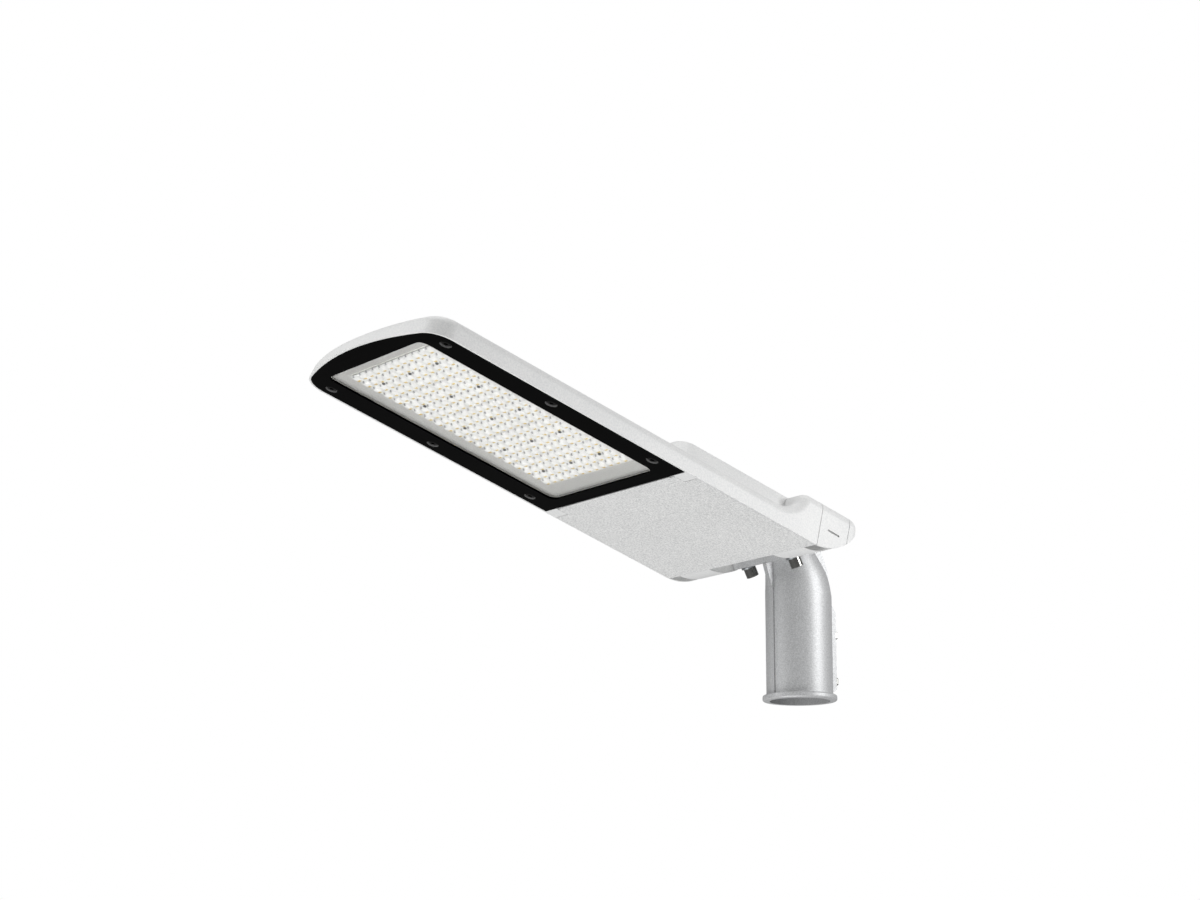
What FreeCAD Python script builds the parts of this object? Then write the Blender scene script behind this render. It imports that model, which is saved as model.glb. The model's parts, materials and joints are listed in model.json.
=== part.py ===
import FreeCAD, Part
import math
import os
import Sketcher
from FreeCAD import Placement, Rotation, Vector

# LED street light head with its spigot.
# Row frame: origin at the centre of the spigot's mouth, +Z up, the nose of the head towards -X.
# The head is drawn level in its own frame: x from nose to rear with 0 at the middle of the LED field,
# z up from the flat underside. It is then tilted nose up about the axis of its tail arc.

SIZES = [
    ("head_tilt", 19, "nose-up angle of the head, degrees"),
    ("pivot_x", -60, "tilt axis in front of the socket's axis"),
    ("pivot_z", 188, "tilt axis above the spigot's mouth"),
    ("lens_pitch", 12, "LED and lens spacing"),
    ("lens_rows", 4, "lenses along each side of a lens plate"),
    ("plates_long", 5, "lens plates along the head"),
    ("plates_wide", 3, "lens plates across the head"),
    ("field_half_length", "=lens_pitch * lens_rows * plates_long / 2", "half length of the LED field"),
    ("field_half_width", "=lens_pitch * lens_rows * plates_wide / 2", "half width of the LED field"),
    ("window_end", 16.5, "window's end beyond the LED field"),
    ("window_side", 14, "window's side beyond the LED field"),
    ("window_length", "=2 * (field_half_length + window_end)", "window in the frame"),
    ("window_width", "=2 * (field_half_width + window_side)", "window in the frame"),
    ("window_corner", 9, "corner radius of the window"),
    ("frame_side_band", 31.5, "width of the frame beside the window"),
    ("frame_nose_band", 22.8, "width of the frame at the nose"),
    ("frame_rear_band", 13.9, "width of the frame behind the window"),
    ("frame_half_width", "=window_width / 2 + frame_side_band", "half width of the black frame"),
    ("frame_nose", "=window_length / 2 + frame_nose_band", "LED field's middle to the frame's nose"),
    ("frame_rear", "=window_length / 2 + frame_rear_band", "LED field's middle to the frame's rear edge"),
    ("frame_corner", 25, "corner radius of the frame's nose"),
    ("frame_thickness", 4, "thickness of the frame"),
    ("frame_lip", 2, "thickness of the lip that holds the glass"),
    ("frame_screw_inset", 13.5, "frame screws from the frame's side"),
    ("frame_screw_row", "=frame_half_width - frame_screw_inset", "frame screws from the centre line"),
    ("frame_screw_pitch", "=window_length / 2 - 16", "frame screws along the head"),
    ("housing_edge", 3, "housing's edge beside the frame"),
    ("housing_nose_edge", 2.2, "housing's edge before the frame's nose"),
    ("head_half_width", "=frame_half_width + housing_edge", "half width of the housing at its underside"),
    ("nose_reach", "=frame_nose + housing_nose_edge", "middle of the LED field to the housing's nose"),
    ("nose_radius", 372, "shallow bow of the nose"),
    ("nose_corner", "=frame_corner + housing_edge", "corner radius of the nose"),
    ("slab_height", 22.5, "thickness of the front slab"),
    ("nose_fall", 10, "how far the slab's top comes down at the nose"),
    ("nose_fall_length", 34, "where the slab's top starts to come down, behind the nose"),
    ("nose_fall_radius", "=(nose_fall_length * nose_fall_length + nose_fall * nose_fall) / (2 * nose_fall)",
     "bend of the falling top"),
    ("side_draft", 8, "draft of the side walls, degrees"),
    ("edge_round", 12, "rounding of the upper edge of slab and tail"),
    ("wall", 3.5, "cast wall"),
    ("gap", 0.3, "gap between neighbouring pieces"),
    ("pin_setback", 5.6, "door's hinge axis behind the frame"),
    ("pin_x", "=frame_rear + pin_setback", "door's hinge axis behind the LED field's middle"),
    ("pin_z", "=cover_thickness", "door's hinge axis above the underside"),
    ("bay_setback", 18.1, "front wall of the gear bay behind the frame"),
    ("bay_length", 134.5, "length of the gear bay"),
    ("bay_front", "=frame_rear + bay_setback", "front wall of the gear bay"),
    ("bay_rear", "=bay_front + bay_length", "rear wall of the gear bay"),
    ("bay_margin", 38.5, "deep gear bay from the housing's edge"),
    ("bay_side_margin", 9.5, "shallow sides of the bay from the housing's edge"),
    ("bay_half_width", "=head_half_width - bay_margin", "half width of the deep gear bay"),
    ("bay_side_half_width", "=head_half_width - bay_side_margin", "half width of the bay's shallow sides"),
    ("bay_side_height", "=slab_height - 6.5", "roof of the shallow sides"),
    ("cover_overhang", 11.2, "door's rear edge behind the gear bay"),
    ("cover_rear", "=bay_rear + cover_overhang", "rear edge of the door"),
    ("cover_thickness", 3, "plate of the door"),
    ("cover_hinge_gap", 1.2, "door's front edge behind the frame"),
    ("cover_half_width", "=frame_half_width + 0.5", "half width of the door"),
    ("cover_gasket", 1.3, "height of the door's gasket"),
    ("cover_seat", "=cover_thickness + cover_gasket", "underside to the face that the door's gasket meets"),
    ("tail_lead", 20, "full-width tail before the start of the arc"),
    ("tail_front", "=arc_start - tail_lead", "front face of the full-width tail"),
    ("arc_start", "=cover_rear - 4.2", "where the flat underside turns up"),
    ("arc_radius", 55.4, "radius of the tail's underside"),
    ("arc_turn", 68, "where the tail's underside leaves its arc, degrees from straight down"),
    ("tail_reach", "=arc_start + arc_radius + 2.2", "middle of the LED field to the rear end"),
    ("tail_height", 48.5, "height of the tail"),
    ("tail_corner", 13, "corner radius of the tail"),
    ("sweep_radius", "=tail_height - slab_height + 1", "hollow sweep from the slab up to the tail"),
    ("hump_lead", 7.4, "hump's front foot before the frame's rear edge"),
    ("hump_margin", 20.5, "hump's foot from the housing's edge"),
    ("hump_front", "=frame_rear - hump_lead", "front foot of the gear hump"),
    ("hump_rear", "=arc_start + 22", "rear foot of the gear hump"),
    ("hump_half_width", "=head_half_width - hump_margin", "half width of the hump's foot"),
    ("hump_draft", 34, "slope of the hump's walls, degrees"),
    ("hump_corner", 32, "corner radius of the hump's foot"),
    ("hump_round", 8, "rounding of the hump's top edge"),
    ("hump_foot_round", 12, "hollow rounding at the hump's foot"),
    ("glass_margin", 6, "how far the glass reaches under the lip"),
    ("glass_thickness", 4, "toughened glass"),
    ("gasket_thickness", 1.5, "silicone gasket on the glass"),
    ("lens_clearance", 0.7, "lens above the glass"),
    ("lens_rise", 2.6, "height of one lens"),
    ("lens_base", 0.8, "thickness of the lens plate"),
    ("lens_gap", 0.8, "gap under the lens plate"),
    ("lens_side", 9.2, "side of one lens at its foot"),
    ("lens_slope", 28, "slope of the lens sides, degrees"),
    ("board_thickness", 1.6, "aluminium LED board"),
    ("lens_seat", "=frame_lip + glass_thickness + lens_clearance + lens_rise",
     "underside to the lens plates"),
    ("board_face", "=lens_seat + lens_base + lens_gap", "underside to the face of the LED board"),
    ("seat_depth", "=board_face + board_thickness", "underside to the floor that carries the LED board"),
    ("chip_side", 3, "side of one LED"),
    ("chip_height", 0.7, "height of one LED"),
    ("floor_thickness", 4, "housing floor above the LED board"),
    ("fin_count", 15, "cooling fins"),
    ("fin_half_length", "=field_half_length - 8", "half length of a fin"),
    ("fin_field", "=field_half_width + 5", "outermost cooling fins from the centre line"),
    ("fin_pitch", "=2 * fin_field / (fin_count - 1)", "spacing of the cooling fins"),
    ("fin_thickness", 3, "cooling fin"),
    ("fin_height", "=slab_height - seat_depth - floor_thickness - 1", "cooling fin above the floor"),
    ("pin_radius", 1.5, "hinge pin of the door"),
    ("barrel_radius", 3, "hinge barrels of the door"),
    ("lug_length", 14, "housing lug beside the door's hinge"),
    ("lug_width", 19, "housing lug beside the door's hinge"),
    ("lug_inner", "=cover_half_width - lug_width", "inner side of the lug from the centre line"),
    ("saddle_wall", 7.6, "wall of the saddle"),
    ("saddle_outer", "=arc_radius - 0.8", "outer radius of the saddle"),
    ("saddle_inner", "=saddle_outer - saddle_wall", "inner radius of the saddle"),
    ("saddle_half_width", 50, "half width of the saddle"),
    ("saddle_start", 19, "front face of the saddle, degrees from straight down"),
    ("saddle_sweep", 31, "length of the saddle, degrees"),
    ("seat_wall", 4.7, "wall of the curved seat"),
    ("seat_outer", "=saddle_inner - gap", "outer radius of the curved seat"),
    ("seat_inner", "=seat_outer - seat_wall", "inner radius of the curved seat"),
    ("core_margin", 19.5, "tail's cast core from the housing's edge"),
    ("core_half_width", "=head_half_width - core_margin", "half width of the tail's cast core"),
    ("core_length", 39.7, "tail's cast core behind the start of the arc"),
    ("core_rear", "=arc_start + core_length", "rear face of the tail's cheeks"),
    ("recess_half_width", "=saddle_half_width + 2", "half width of the saddle recess"),
    ("hood_gap", 0.6, "open seams beside the tail hood"),
    ("hood_front", "=cover_rear + gap + hood_gap", "front edge of the tail hood"),
    ("hood_rear", "=core_rear + gap", "rear edge of the tail hood"),
    ("hood_wall", 2.5, "wall of the tail hood"),
    ("hood_screw", 2, "shank of the hood screws"),
    ("hood_screw_margin", 28.5, "hood screws from the housing's edge"),
    ("hood_screw_row", "=head_half_width - hood_screw_margin", "hood screws from the centre line"),
    ("bolt_angle", 27.3, "saddle bolts, degrees from straight down"),
    ("bolt_row", "=saddle_half_width - 14", "saddle bolts from the centre line"),
    ("bolt_radius", 4, "saddle bolt shank"),
    ("bolt_head_radius", 6.3, "saddle bolt head"),
    ("bolt_head_height", 10, "saddle bolt head"),
    ("tilt_travel", 19, "travel of the head on its seat, degrees"),
    ("socket_radius", 30.5, "bore of the socket"),
    ("socket_depth", 100, "depth of the bore"),
    ("socket_wall", 3, "wall of the socket"),
    ("tube_radius", "=socket_radius + socket_wall", "outside of the spigot"),
    ("lip_radius", "=tube_radius + 4", "lip round the spigot's mouth"),
    ("lip_height", 6, "lip round the spigot's mouth"),
    ("neck_rise", "=pivot_z - socket_depth - 24", "neck above the socket"),
    ("clamp_low", 23, "lower clamp bolt above the mouth"),
    ("clamp_high", "=socket_depth - 30", "upper clamp bolt above the mouth"),
    ("clamp_pad_reach", "=tube_radius + 8.3", "rear pad from the socket's axis"),
    ("clamp_radius", 3, "shank of the clamp bolts"),
    ("cable_angle", 45, "cable passage through the seat, degrees from straight down"),
    ("frame_screw", 2.5, "shank of the frame screws"),
    ("frame_screw_head", 5.3, "head of the frame screws"),
    ("lens_screw", 1, "shank of the lens screws"),
    ("lens_screw_head", 1.7, "head of the lens screws"),
    ("tray_screw", 2, "shank of the gear plate screws"),
    ("plate_drop", 9.5, "gear plate below the top of the tail"),
    ("plate_z", "=tail_height - plate_drop", "gear plate above the underside"),
    ("plate_thickness", 1.5, "gear plate"),
    ("driver_x", "=bay_front + 21.5", "front end of the LED driver"),
    ("driver_length", "=bay_length - 42.5", "LED driver"),
    ("driver_side", 2, "inner side of the LED driver"),
    ("driver_height", 28, "LED driver"),
    ("latch_row", "=bay_half_width - 16", "door latches from the centre line"),
    ("gland_z", "=tail_height - 21.5", "cable gland above the underside"),
    ("gland_thread", 8, "thread of the cable gland"),
    ("vent_y", "=bay_half_width / 2", "breather vent from the centre line"),
    ("vent_thread", 5, "thread of the breather vent"),
    ("lead_y", "=0 - bay_half_width / 2", "LED lead from the centre line"),
    ("lead_radius", 0.7, "LED lead"),
    ("lead_z", "=(board_face + seat_depth) / 2", "LED lead above the underside"),
    ("grommet_radius", 2.2, "grommet in the front wall of the bay"),
]


class Size:
    """A length with the formula that ties it to the sheet of sizes."""

    def __init__(self, value, text):
        self.value = value
        self.text = text

    def __add__(self, other):
        other = as_size(other)
        return Size(self.value + other.value, f"({self.text} + {other.text})")

    def __radd__(self, other):
        return as_size(other) + self

    def __sub__(self, other):
        other = as_size(other)
        return Size(self.value - other.value, f"({self.text} - {other.text})")

    def __rsub__(self, other):
        return as_size(other) - self

    def __mul__(self, other):
        other = as_size(other)
        return Size(self.value * other.value, f"({self.text} * {other.text})")

    def __rmul__(self, other):
        return as_size(other) * self

    def __truediv__(self, other):
        other = as_size(other)
        return Size(self.value / other.value, f"({self.text} / {other.text})")

    def __neg__(self):
        return Size(-self.value, f"(0 - {self.text})")


def as_size(value):
    return value if isinstance(value, Size) else Size(float(value), f"({float(value)})")


def root(size):
    return Size(math.sqrt(size.value), f"sqrt({size.text})")


def sine(size):
    return Size(math.sin(math.radians(size.value)), f"sin({size.text})")


def cosine(size):
    return Size(math.cos(math.radians(size.value)), f"cos({size.text})")


def tangent(size):
    return Size(math.tan(math.radians(size.value)), f"tan({size.text})")


doc = FreeCAD.newDocument("street_light_head")
sheet = doc.addObject("Spreadsheet::Sheet", "Sizes")
S = {}
for line, (alias, value, note) in enumerate(SIZES, start=1):
    sheet.set(f"A{line}", alias)
    sheet.setAlias(f"B{line}", alias)
    sheet.set(f"C{line}", note)
for line, (alias, value, note) in enumerate(SIZES, start=1):
    sheet.set(f"B{line}", str(value))
doc.recompute()
for alias, value, note in SIZES:
    S[alias] = Size(float(sheet.get(alias)), f"Sizes.{alias}")

SUBPARTS = []


def bind(item, prop, size):
    """Sets a property from a size and ties it to the sheet."""
    item.setExpression(prop, as_size(size).text)


def as_subpart(item, name):
    item.Label = name
    SUBPARTS.append(item)
    return item


def plane_of(body, role):
    return next(f for f in body.Origin.OriginFeatures if f.Role == role)


def new_body(name):
    return doc.addObject("PartDesign::Body", name)


def new_sketch(body, role, offset=0):
    sketch = body.newObject("Sketcher::SketchObject", "Profile")
    sketch.AttachmentSupport = [(plane_of(body, role), "")]
    sketch.MapMode = "FlatFace"
    offset = as_size(offset)
    sketch.AttachmentOffset = Placement(Vector(0, 0, offset.value), Rotation())
    bind(sketch, "AttachmentOffset.Base.z", offset)
    return sketch


def fix_value(sketch, kind, args, size):
    """Adds a driving constraint whose value follows the sheet."""
    size = as_size(size)
    number = sketch.addConstraint(Sketcher.Constraint(kind, *args, size.value))
    bind(sketch, f"Constraints[{number}]", size)


def fix_point(sketch, edge, end, x, y):
    fix_value(sketch, "DistanceX", (edge, end), x)
    fix_value(sketch, "DistanceY", (edge, end), y)


def draw_outline(sketch, corners, closed=True):
    """A run of lines and arcs. A corner is (x, y), or (x, y, radius, turn) when an arc leaves it: turn is 1
    for counter-clockwise and -1 for clockwise."""
    corners = [tuple(as_size(v) for v in c[:3]) + tuple(c[3:]) for c in corners]
    ends = []
    for i, corner in enumerate(corners if closed else corners[:-1]):
        follower = corners[(i + 1) % len(corners)]
        start = Vector(corner[0].value, corner[1].value, 0)
        finish = Vector(follower[0].value, follower[1].value, 0)
        if len(corner) == 2:
            edge = sketch.addGeometry(Part.LineSegment(start, finish), False)
            ends.append((edge, 1, 2))
            continue
        radius, turn = corner[2], corner[3]
        chord = finish - start
        rise = math.sqrt(max(radius.value ** 2 - (chord.Length / 2) ** 2, 0))
        side = Vector(-chord.y, chord.x, 0).normalize() * rise * turn
        centre = (start + finish) * 0.5 + side
        first, last = (start, finish) if turn > 0 else (finish, start)
        a = math.atan2(first.y - centre.y, first.x - centre.x)
        b = math.atan2(last.y - centre.y, last.x - centre.x)
        circle = Part.Circle(centre, Vector(0, 0, 1), radius.value)
        edge = sketch.addGeometry(Part.ArcOfCircle(circle, a, b if b > a else b + 2 * math.pi), False)
        ends.append((edge, 1, 2) if turn > 0 else (edge, 2, 1))
        fix_value(sketch, "Radius", (edge,), radius)
    for i, (edge, first, last) in enumerate(ends):
        fix_point(sketch, edge, first, corners[i][0], corners[i][1])
        if closed or i + 1 < len(ends):
            follower = ends[(i + 1) % len(ends)]
            sketch.addConstraint(Sketcher.Constraint("Coincident", edge, last, follower[0], follower[1]))
        else:
            fix_point(sketch, edge, last, corners[-1][0], corners[-1][1])


def draw_box(sketch, x0, x1, y0, y1):
    draw_outline(sketch, [(x0, y0), (x1, y0), (x1, y1), (x0, y1)])


def draw_round_box(sketch, x0, x1, y0, y1, r):
    draw_outline(sketch, [
        (x0 + r, y0), (x1 - r, y0, r, 1), (x1, y0 + r), (x1, y1 - r, r, 1),
        (x1 - r, y1), (x0 + r, y1, r, 1), (x0, y1 - r), (x0, y0 + r, r, 1)])


def draw_circle(sketch, x, y, radius):
    x, y, radius = as_size(x), as_size(y), as_size(radius)
    circle = Part.Circle(Vector(x.value, y.value, 0), Vector(0, 0, 1), radius.value)
    edge = sketch.addGeometry(circle, False)
    fix_point(sketch, edge, 3, x, y)
    fix_value(sketch, "Radius", (edge,), radius)


def add_feature(body, kind, sketch, length, taper=None, both_ways=False, reverse=False):
    feature = body.newObject(kind, kind.split("::")[1])
    feature.Profile = sketch
    bind(feature, "Length", length)
    feature.Midplane = both_ways
    feature.Reversed = reverse
    if taper is not None:
        bind(feature, "TaperAngle", taper)
    return feature


def pad(body, sketch, length, **options):
    return add_feature(body, "PartDesign::Pad", sketch, length, **options)


def pocket(body, sketch, length, **options):
    """Cuts and makes sure that something was cut."""
    doc.recompute()
    before = body.Shape.Volume
    feature = add_feature(body, "PartDesign::Pocket", sketch, length, **options)
    doc.recompute()
    if body.Shape.Volume >= before - 1e-6:
        raise RuntimeError(f"a pocket of {body.Name} cuts nothing")
    return feature


def fillet(body, radius, chooses):
    """Rounds the edges of the body so far that the test chooses."""
    doc.recompute()
    edges = [f"Edge{i}" for i, e in enumerate(body.Shape.Edges, start=1) if chooses(e)]
    if not edges:
        raise RuntimeError(f"no edge to round on {body.Name}")
    base = body.Tip
    feature = body.newObject("PartDesign::Fillet", "Fillet")
    feature.Base = (base, edges)
    bind(feature, "Radius", radius)
    doc.recompute()
    if "Invalid" in feature.State or feature.Shape.isNull():
        raise RuntimeError(f"the rounding of {body.Name} fails")
    return feature


def flat_edge(edge, z):
    return all(abs(v.Z - z) < 1e-4 for v in edge.Vertexes) and abs(edge.CenterOfMass.z - z) < 1e-4


def upright_edge(edge):
    if len(edge.Vertexes) != 2:
        return False
    a, b = edge.Vertexes
    return abs(a.Z - b.Z) > 0.6 * edge.Length


def box_body(name, x0, x1, y0, y1, z0, z1):
    body = new_body(name)
    sketch = new_sketch(body, "XY_Plane", z0)
    draw_box(sketch, x0, x1, y0, y1)
    pad(body, sketch, as_size(z1) - z0)
    return body


def round_box_body(name, x0, x1, y0, y1, z0, z1, r):
    body = new_body(name)
    sketch = new_sketch(body, "XY_Plane", z0)
    draw_round_box(sketch, x0, x1, y0, y1, r)
    pad(body, sketch, as_size(z1) - z0)
    return body


def fuse(name, items):
    result = doc.addObject("Part::MultiFuse", name)
    result.Shapes = items
    return result


def cut(name, base, tools):
    result = doc.addObject("Part::Cut", name)
    result.Base = base
    result.Tool = tools[0] if len(tools) == 1 else fuse(f"{name}_tools", tools)
    return result


def common(name, base, tool):
    result = doc.addObject("Part::Common", name)
    result.Base = base
    result.Tool = tool
    return result


def cylinder(name, centre, axis, radius, height):
    """A round bar from its foot along an axis."""
    item = doc.addObject("Part::Cylinder", name)
    bind(item, "Radius", radius)
    bind(item, "Height", height)
    item.Placement = Placement(Vector(0, 0, 0), Rotation(Vector(0, 0, 1), Vector(*axis)))
    for prop, size in zip("xyz", centre):
        bind(item, f"Placement.Base.{prop}", size)
    return item


def arc_bar(name, x, z, inner, outer, half_width):
    """A round bar or tube across the head, about an axis at x and z."""
    body = new_body(name)
    sketch = new_sketch(body, "XZ_Plane")
    draw_circle(sketch, x, z, outer)
    if inner is not None:
        draw_circle(sketch, x, z, inner)
    pad(body, sketch, 2 * as_size(half_width), both_ways=True)
    return body


def sector_body(name, x, z, inner, outer, start, sweep, half_width):
    """Part of a thick tube across the head. Its angles count from straight down towards the rear."""
    start, stop = as_size(start), as_size(start) + sweep
    inner, outer = as_size(inner), as_size(outer)
    body = new_body(name)
    sketch = new_sketch(body, "XZ_Plane")
    draw_outline(sketch, [
        (x + outer * sine(start), z - outer * cosine(start), outer, 1),
        (x + outer * sine(stop), z - outer * cosine(stop)),
        (x + inner * sine(stop), z - inner * cosine(stop), inner, -1),
        (x + inner * sine(start), z - inner * cosine(start))])
    pad(body, sketch, 2 * as_size(half_width), both_ways=True)
    return body


def draw_nose(sketch, half_width, nose, rear, corner, rear_corner=None):
    """The plan of the head: straight sides, bowed nose and round nose corners."""
    bow = S["nose_radius"]
    middle = bow - nose
    across = half_width - corner
    along = root((bow - corner) * (bow - corner) - across * across)
    meet_x = middle - along * bow / (bow - corner)
    meet_y = across * bow / (bow - corner)
    outline = [(middle - along, half_width, corner, 1), (meet_x, meet_y, bow, 1),
               (meet_x, -meet_y, corner, 1),
               (middle - along, -half_width)]
    if rear_corner is None:
        outline += [(rear, -half_width), (rear, half_width)]
    else:
        outline += [(rear - rear_corner, -half_width, rear_corner, 1), (rear, rear_corner - half_width),
                    (rear, half_width - rear_corner, rear_corner, 1), (rear - rear_corner, half_width)]
    draw_outline(sketch, outline)


def nose_body(name, half_width, nose, rear, corner, z0, height, taper=None, rear_corner=None):
    """A plate with the bowed nose outline."""
    body = new_body(name)
    sketch = new_sketch(body, "XY_Plane", z0)
    draw_nose(sketch, half_width, nose, rear, corner, rear_corner)
    pad(body, sketch, height, taper=taper)
    return body


def head_form():
    """The head without its hump: slab with a falling nose, hollow sweep up to the tail, and a round rim."""
    body = nose_body("HeadForm", S["head_half_width"], S["nose_reach"], S["tail_reach"], S["nose_corner"],
                     0, S["tail_height"], taper=-S["side_draft"], rear_corner=S["tail_corner"])
    foot, r = S["slab_height"], S["sweep_radius"]
    rise = S["tail_height"] - foot
    front = S["tail_front"] - root(r * r - (r - rise) * (r - rise))
    over = S["tail_height"] + 5
    bend = S["nose_fall_radius"]
    bend_start = S["nose_fall_length"] - S["nose_reach"]
    nose = -S["nose_reach"] - 5
    nose_z = foot - bend + root(bend * bend - (bend_start - nose) * (bend_start - nose))
    sketch = new_sketch(body, "XZ_Plane")
    draw_outline(sketch, [(nose, nose_z, bend, -1), (bend_start, foot), (front, foot, r, 1),
                          (S["tail_front"], S["tail_height"]), (S["tail_front"], over), (nose, over)])
    pocket(body, sketch, 4 * S["head_half_width"], both_ways=True)
    low, high = (foot - S["nose_fall"]).value - 1, S["tail_height"].value + 0.01
    lines = (front.value, bend_start.value)
    fillet(body, S["edge_round"], lambda e: on_rim(e, low, high, lines))
    return body


def hump_form():
    """The gear hump, with a hollow rounding where it stands on the slab's flat top."""
    w, foot = S["hump_half_width"], S["slab_height"]
    spread = S["hump_foot_round"] * tangent(45 - S["hump_draft"] / 2) + 0.05
    body = box_body("HumpForm", S["hump_front"] - spread - 2, S["hump_rear"] + spread,
                    -w - spread, w + spread, foot - 6, foot)
    sketch = new_sketch(body, "XY_Plane", foot)
    draw_round_box(sketch, S["hump_front"], S["hump_rear"], -w, w, S["hump_corner"])
    pad(body, sketch, S["tail_height"] - foot, taper=-S["hump_draft"])
    inside = w.value + 0.01
    fillet(body, S["hump_foot_round"], lambda e: flat_edge(e, foot.value) and on_hump_foot(e, inside))
    fillet(body, S["hump_round"], lambda e: flat_edge(e, S["tail_height"].value))
    return body


def on_rim(edge, low, high, lines):
    """True for the outer rim of the top, false for the smooth lines across it."""
    box = edge.BoundBox
    across = box.XLength < 0.01 and any(abs(box.XMin - x) < 0.01 for x in lines)
    return low < box.ZMin and box.ZMax < high and not across


def on_hump_foot(edge, inside):
    box = edge.BoundBox
    along = box.XMin > S["hump_front"].value - 0.01 and box.XMax < S["hump_rear"].value + 0.01
    return along and box.YMax < inside and box.YMin > -inside


def tail_form(name, inset):
    """The full-width tail: drafted sides and rounded top."""
    body = new_body(name)
    w = S["head_half_width"] - inset
    front, rear = S["tail_front"], S["tail_reach"] - inset
    corner = S["tail_corner"] - inset
    sketch = new_sketch(body, "XY_Plane")
    draw_outline(sketch, [
        (front, -w), (rear - corner, -w, corner, 1), (rear, corner - w), (rear, w - corner, corner, 1),
        (rear - corner, w), (front, w)])
    pad(body, sketch, S["tail_height"] - inset, taper=-S["side_draft"])
    top = (S["tail_height"] - inset).value
    start = S["tail_front"].value + 1
    fillet(body, S["edge_round"] - inset, lambda e: flat_edge(e, top) and e.BoundBox.XMax > start)
    return body


def below_arc():
    """Everything under the round underside of the tail."""
    body = new_body("BelowArc")
    x, r, turn = S["arc_start"], S["arc_radius"], S["arc_turn"]
    end_x, end_z = x + r * sine(turn), r - r * cosine(turn)
    top = S["tail_height"] + 20
    sketch = new_sketch(body, "XZ_Plane")
    draw_outline(sketch, [(x, -20), (x + r + 60, -20), (x + r + 60, top),
                          (end_x + (top - end_z) / tangent(turn), top), (end_x, end_z, r, -1), (x, 0)])
    pad(body, sketch, 4 * S["head_half_width"], both_ways=True)
    return body


def led_side_cuts():
    """Room under the front slab for the frame, the glass and the LED board, and the hollow sides."""
    gap = S["gap"]
    frame = nose_body("FrameRoom", S["frame_half_width"] + gap, S["frame_nose"] + gap, S["frame_rear"] + gap,
                      S["frame_corner"] + gap, -1, S["frame_thickness"] + 1)
    x = S["window_length"] / 2 + S["glass_margin"] + 3
    y = S["window_width"] / 2 + S["glass_margin"] + 3
    room = round_box_body("LightRoom", -x, x, -y, y, 0, S["seat_depth"], 12)
    cuts = [frame, room]
    for side in (1, -1):
        inner, outer = y + S["wall"], S["frame_half_width"] - 3
        low, high = (inner, outer) if side > 0 else (-outer, -inner)
        channel = box_body("SideRoom", 8 - S["window_length"] / 2, S["frame_rear"] - 12, low, high,
                           1, S["seat_depth"] + S["floor_thickness"])
        cuts.append(cut("SideChannel", channel, frame_bosses(side)))
    return cuts


def frame_spots():
    rows = (S["frame_screw_row"], -S["frame_screw_row"])
    steps = (-S["frame_screw_pitch"], as_size(0), S["frame_screw_pitch"])
    return [(x, y) for y in rows for x in steps]


def frame_bosses(side):
    spots = [(x, y) for x, y in frame_spots() if y.value * side > 0]
    return [cylinder("FrameBoss", (x, y, S["frame_thickness"]), (0, 0, 1), 6, 20) for x, y in spots]


def fin_field():
    """Floor with the cooling fins that stand in the top of the slab."""
    floor = S["seat_depth"] + S["floor_thickness"]
    length = S["fin_half_length"]
    half = S["fin_field"]
    body = box_body("Fins", -length, length, -half - 4, half + 4, floor - 2, floor)
    sketch = new_sketch(body, "XY_Plane", floor - 1)
    draw_box(sketch, -length, length, -half - S["fin_thickness"] / 2, S["fin_thickness"] / 2 - half)
    fin = pad(body, sketch, S["fin_height"] + 1)
    doc.recompute()
    pattern = body.newObject("PartDesign::LinearPattern", "FinRow")
    pattern.Originals = [fin]
    pattern.Direction = (sketch, ["V_Axis"])
    bind(pattern, "Length", half * 2)
    bind(pattern, "Occurrences", S["fin_count"])
    body.Tip = pattern
    return body


def top_room():
    x, y = S["fin_half_length"] + 14, S["fin_field"] + 10
    return round_box_body("TopRoom", -x, x, -y, y, S["seat_depth"] + S["floor_thickness"], 40, 12)


def gear_bay_cuts():
    """The gear bay, its shallow sides, the seat of the cover and room for the cover's hinge barrels."""
    deep = round_box_body("DeepBay", S["bay_front"], S["bay_rear"], -S["bay_half_width"], S["bay_half_width"],
                          0, S["tail_height"] - S["wall"], 8)
    wide = S["bay_side_half_width"]
    sides = round_box_body("ShallowBay", S["bay_front"], S["bay_rear"], -wide, wide,
                           0, S["bay_side_height"], 6)
    seat_y = S["cover_half_width"] + S["gap"]
    seat = box_body("CoverSeat", S["frame_rear"], S["cover_rear"] + S["gap"], -seat_y, seat_y,
                    -1, S["cover_seat"])
    cuts = [deep, sides]
    lugs = [box_body("Lug", S["frame_rear"] - 1, S["frame_rear"] + S["lug_length"], y0, y1,
                     -2, S["cover_seat"] + 1)
            for y0, y1 in ((S["lug_inner"], seat_y + 1), (-seat_y - 1, -S["lug_inner"]))]
    cuts.append(cut("CoverRoom", seat, lugs))
    swing = S["lug_inner"] - 0.2
    cuts.append(box_body("SwingRoom", S["frame_rear"], S["pin_x"] + 6, -swing, swing, 0, S["pin_z"] + 5.4))
    return cuts


def pin_holes(radius, extra):
    length = 31 + extra
    start = S["lug_inner"] - 18
    return [cylinder("PinHole", (S["pin_x"], start, S["pin_z"]), (0, 1, 0), radius, length),
            cylinder("PinHole", (S["pin_x"], -start, S["pin_z"]), (0, -1, 0), radius, length)]


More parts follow.
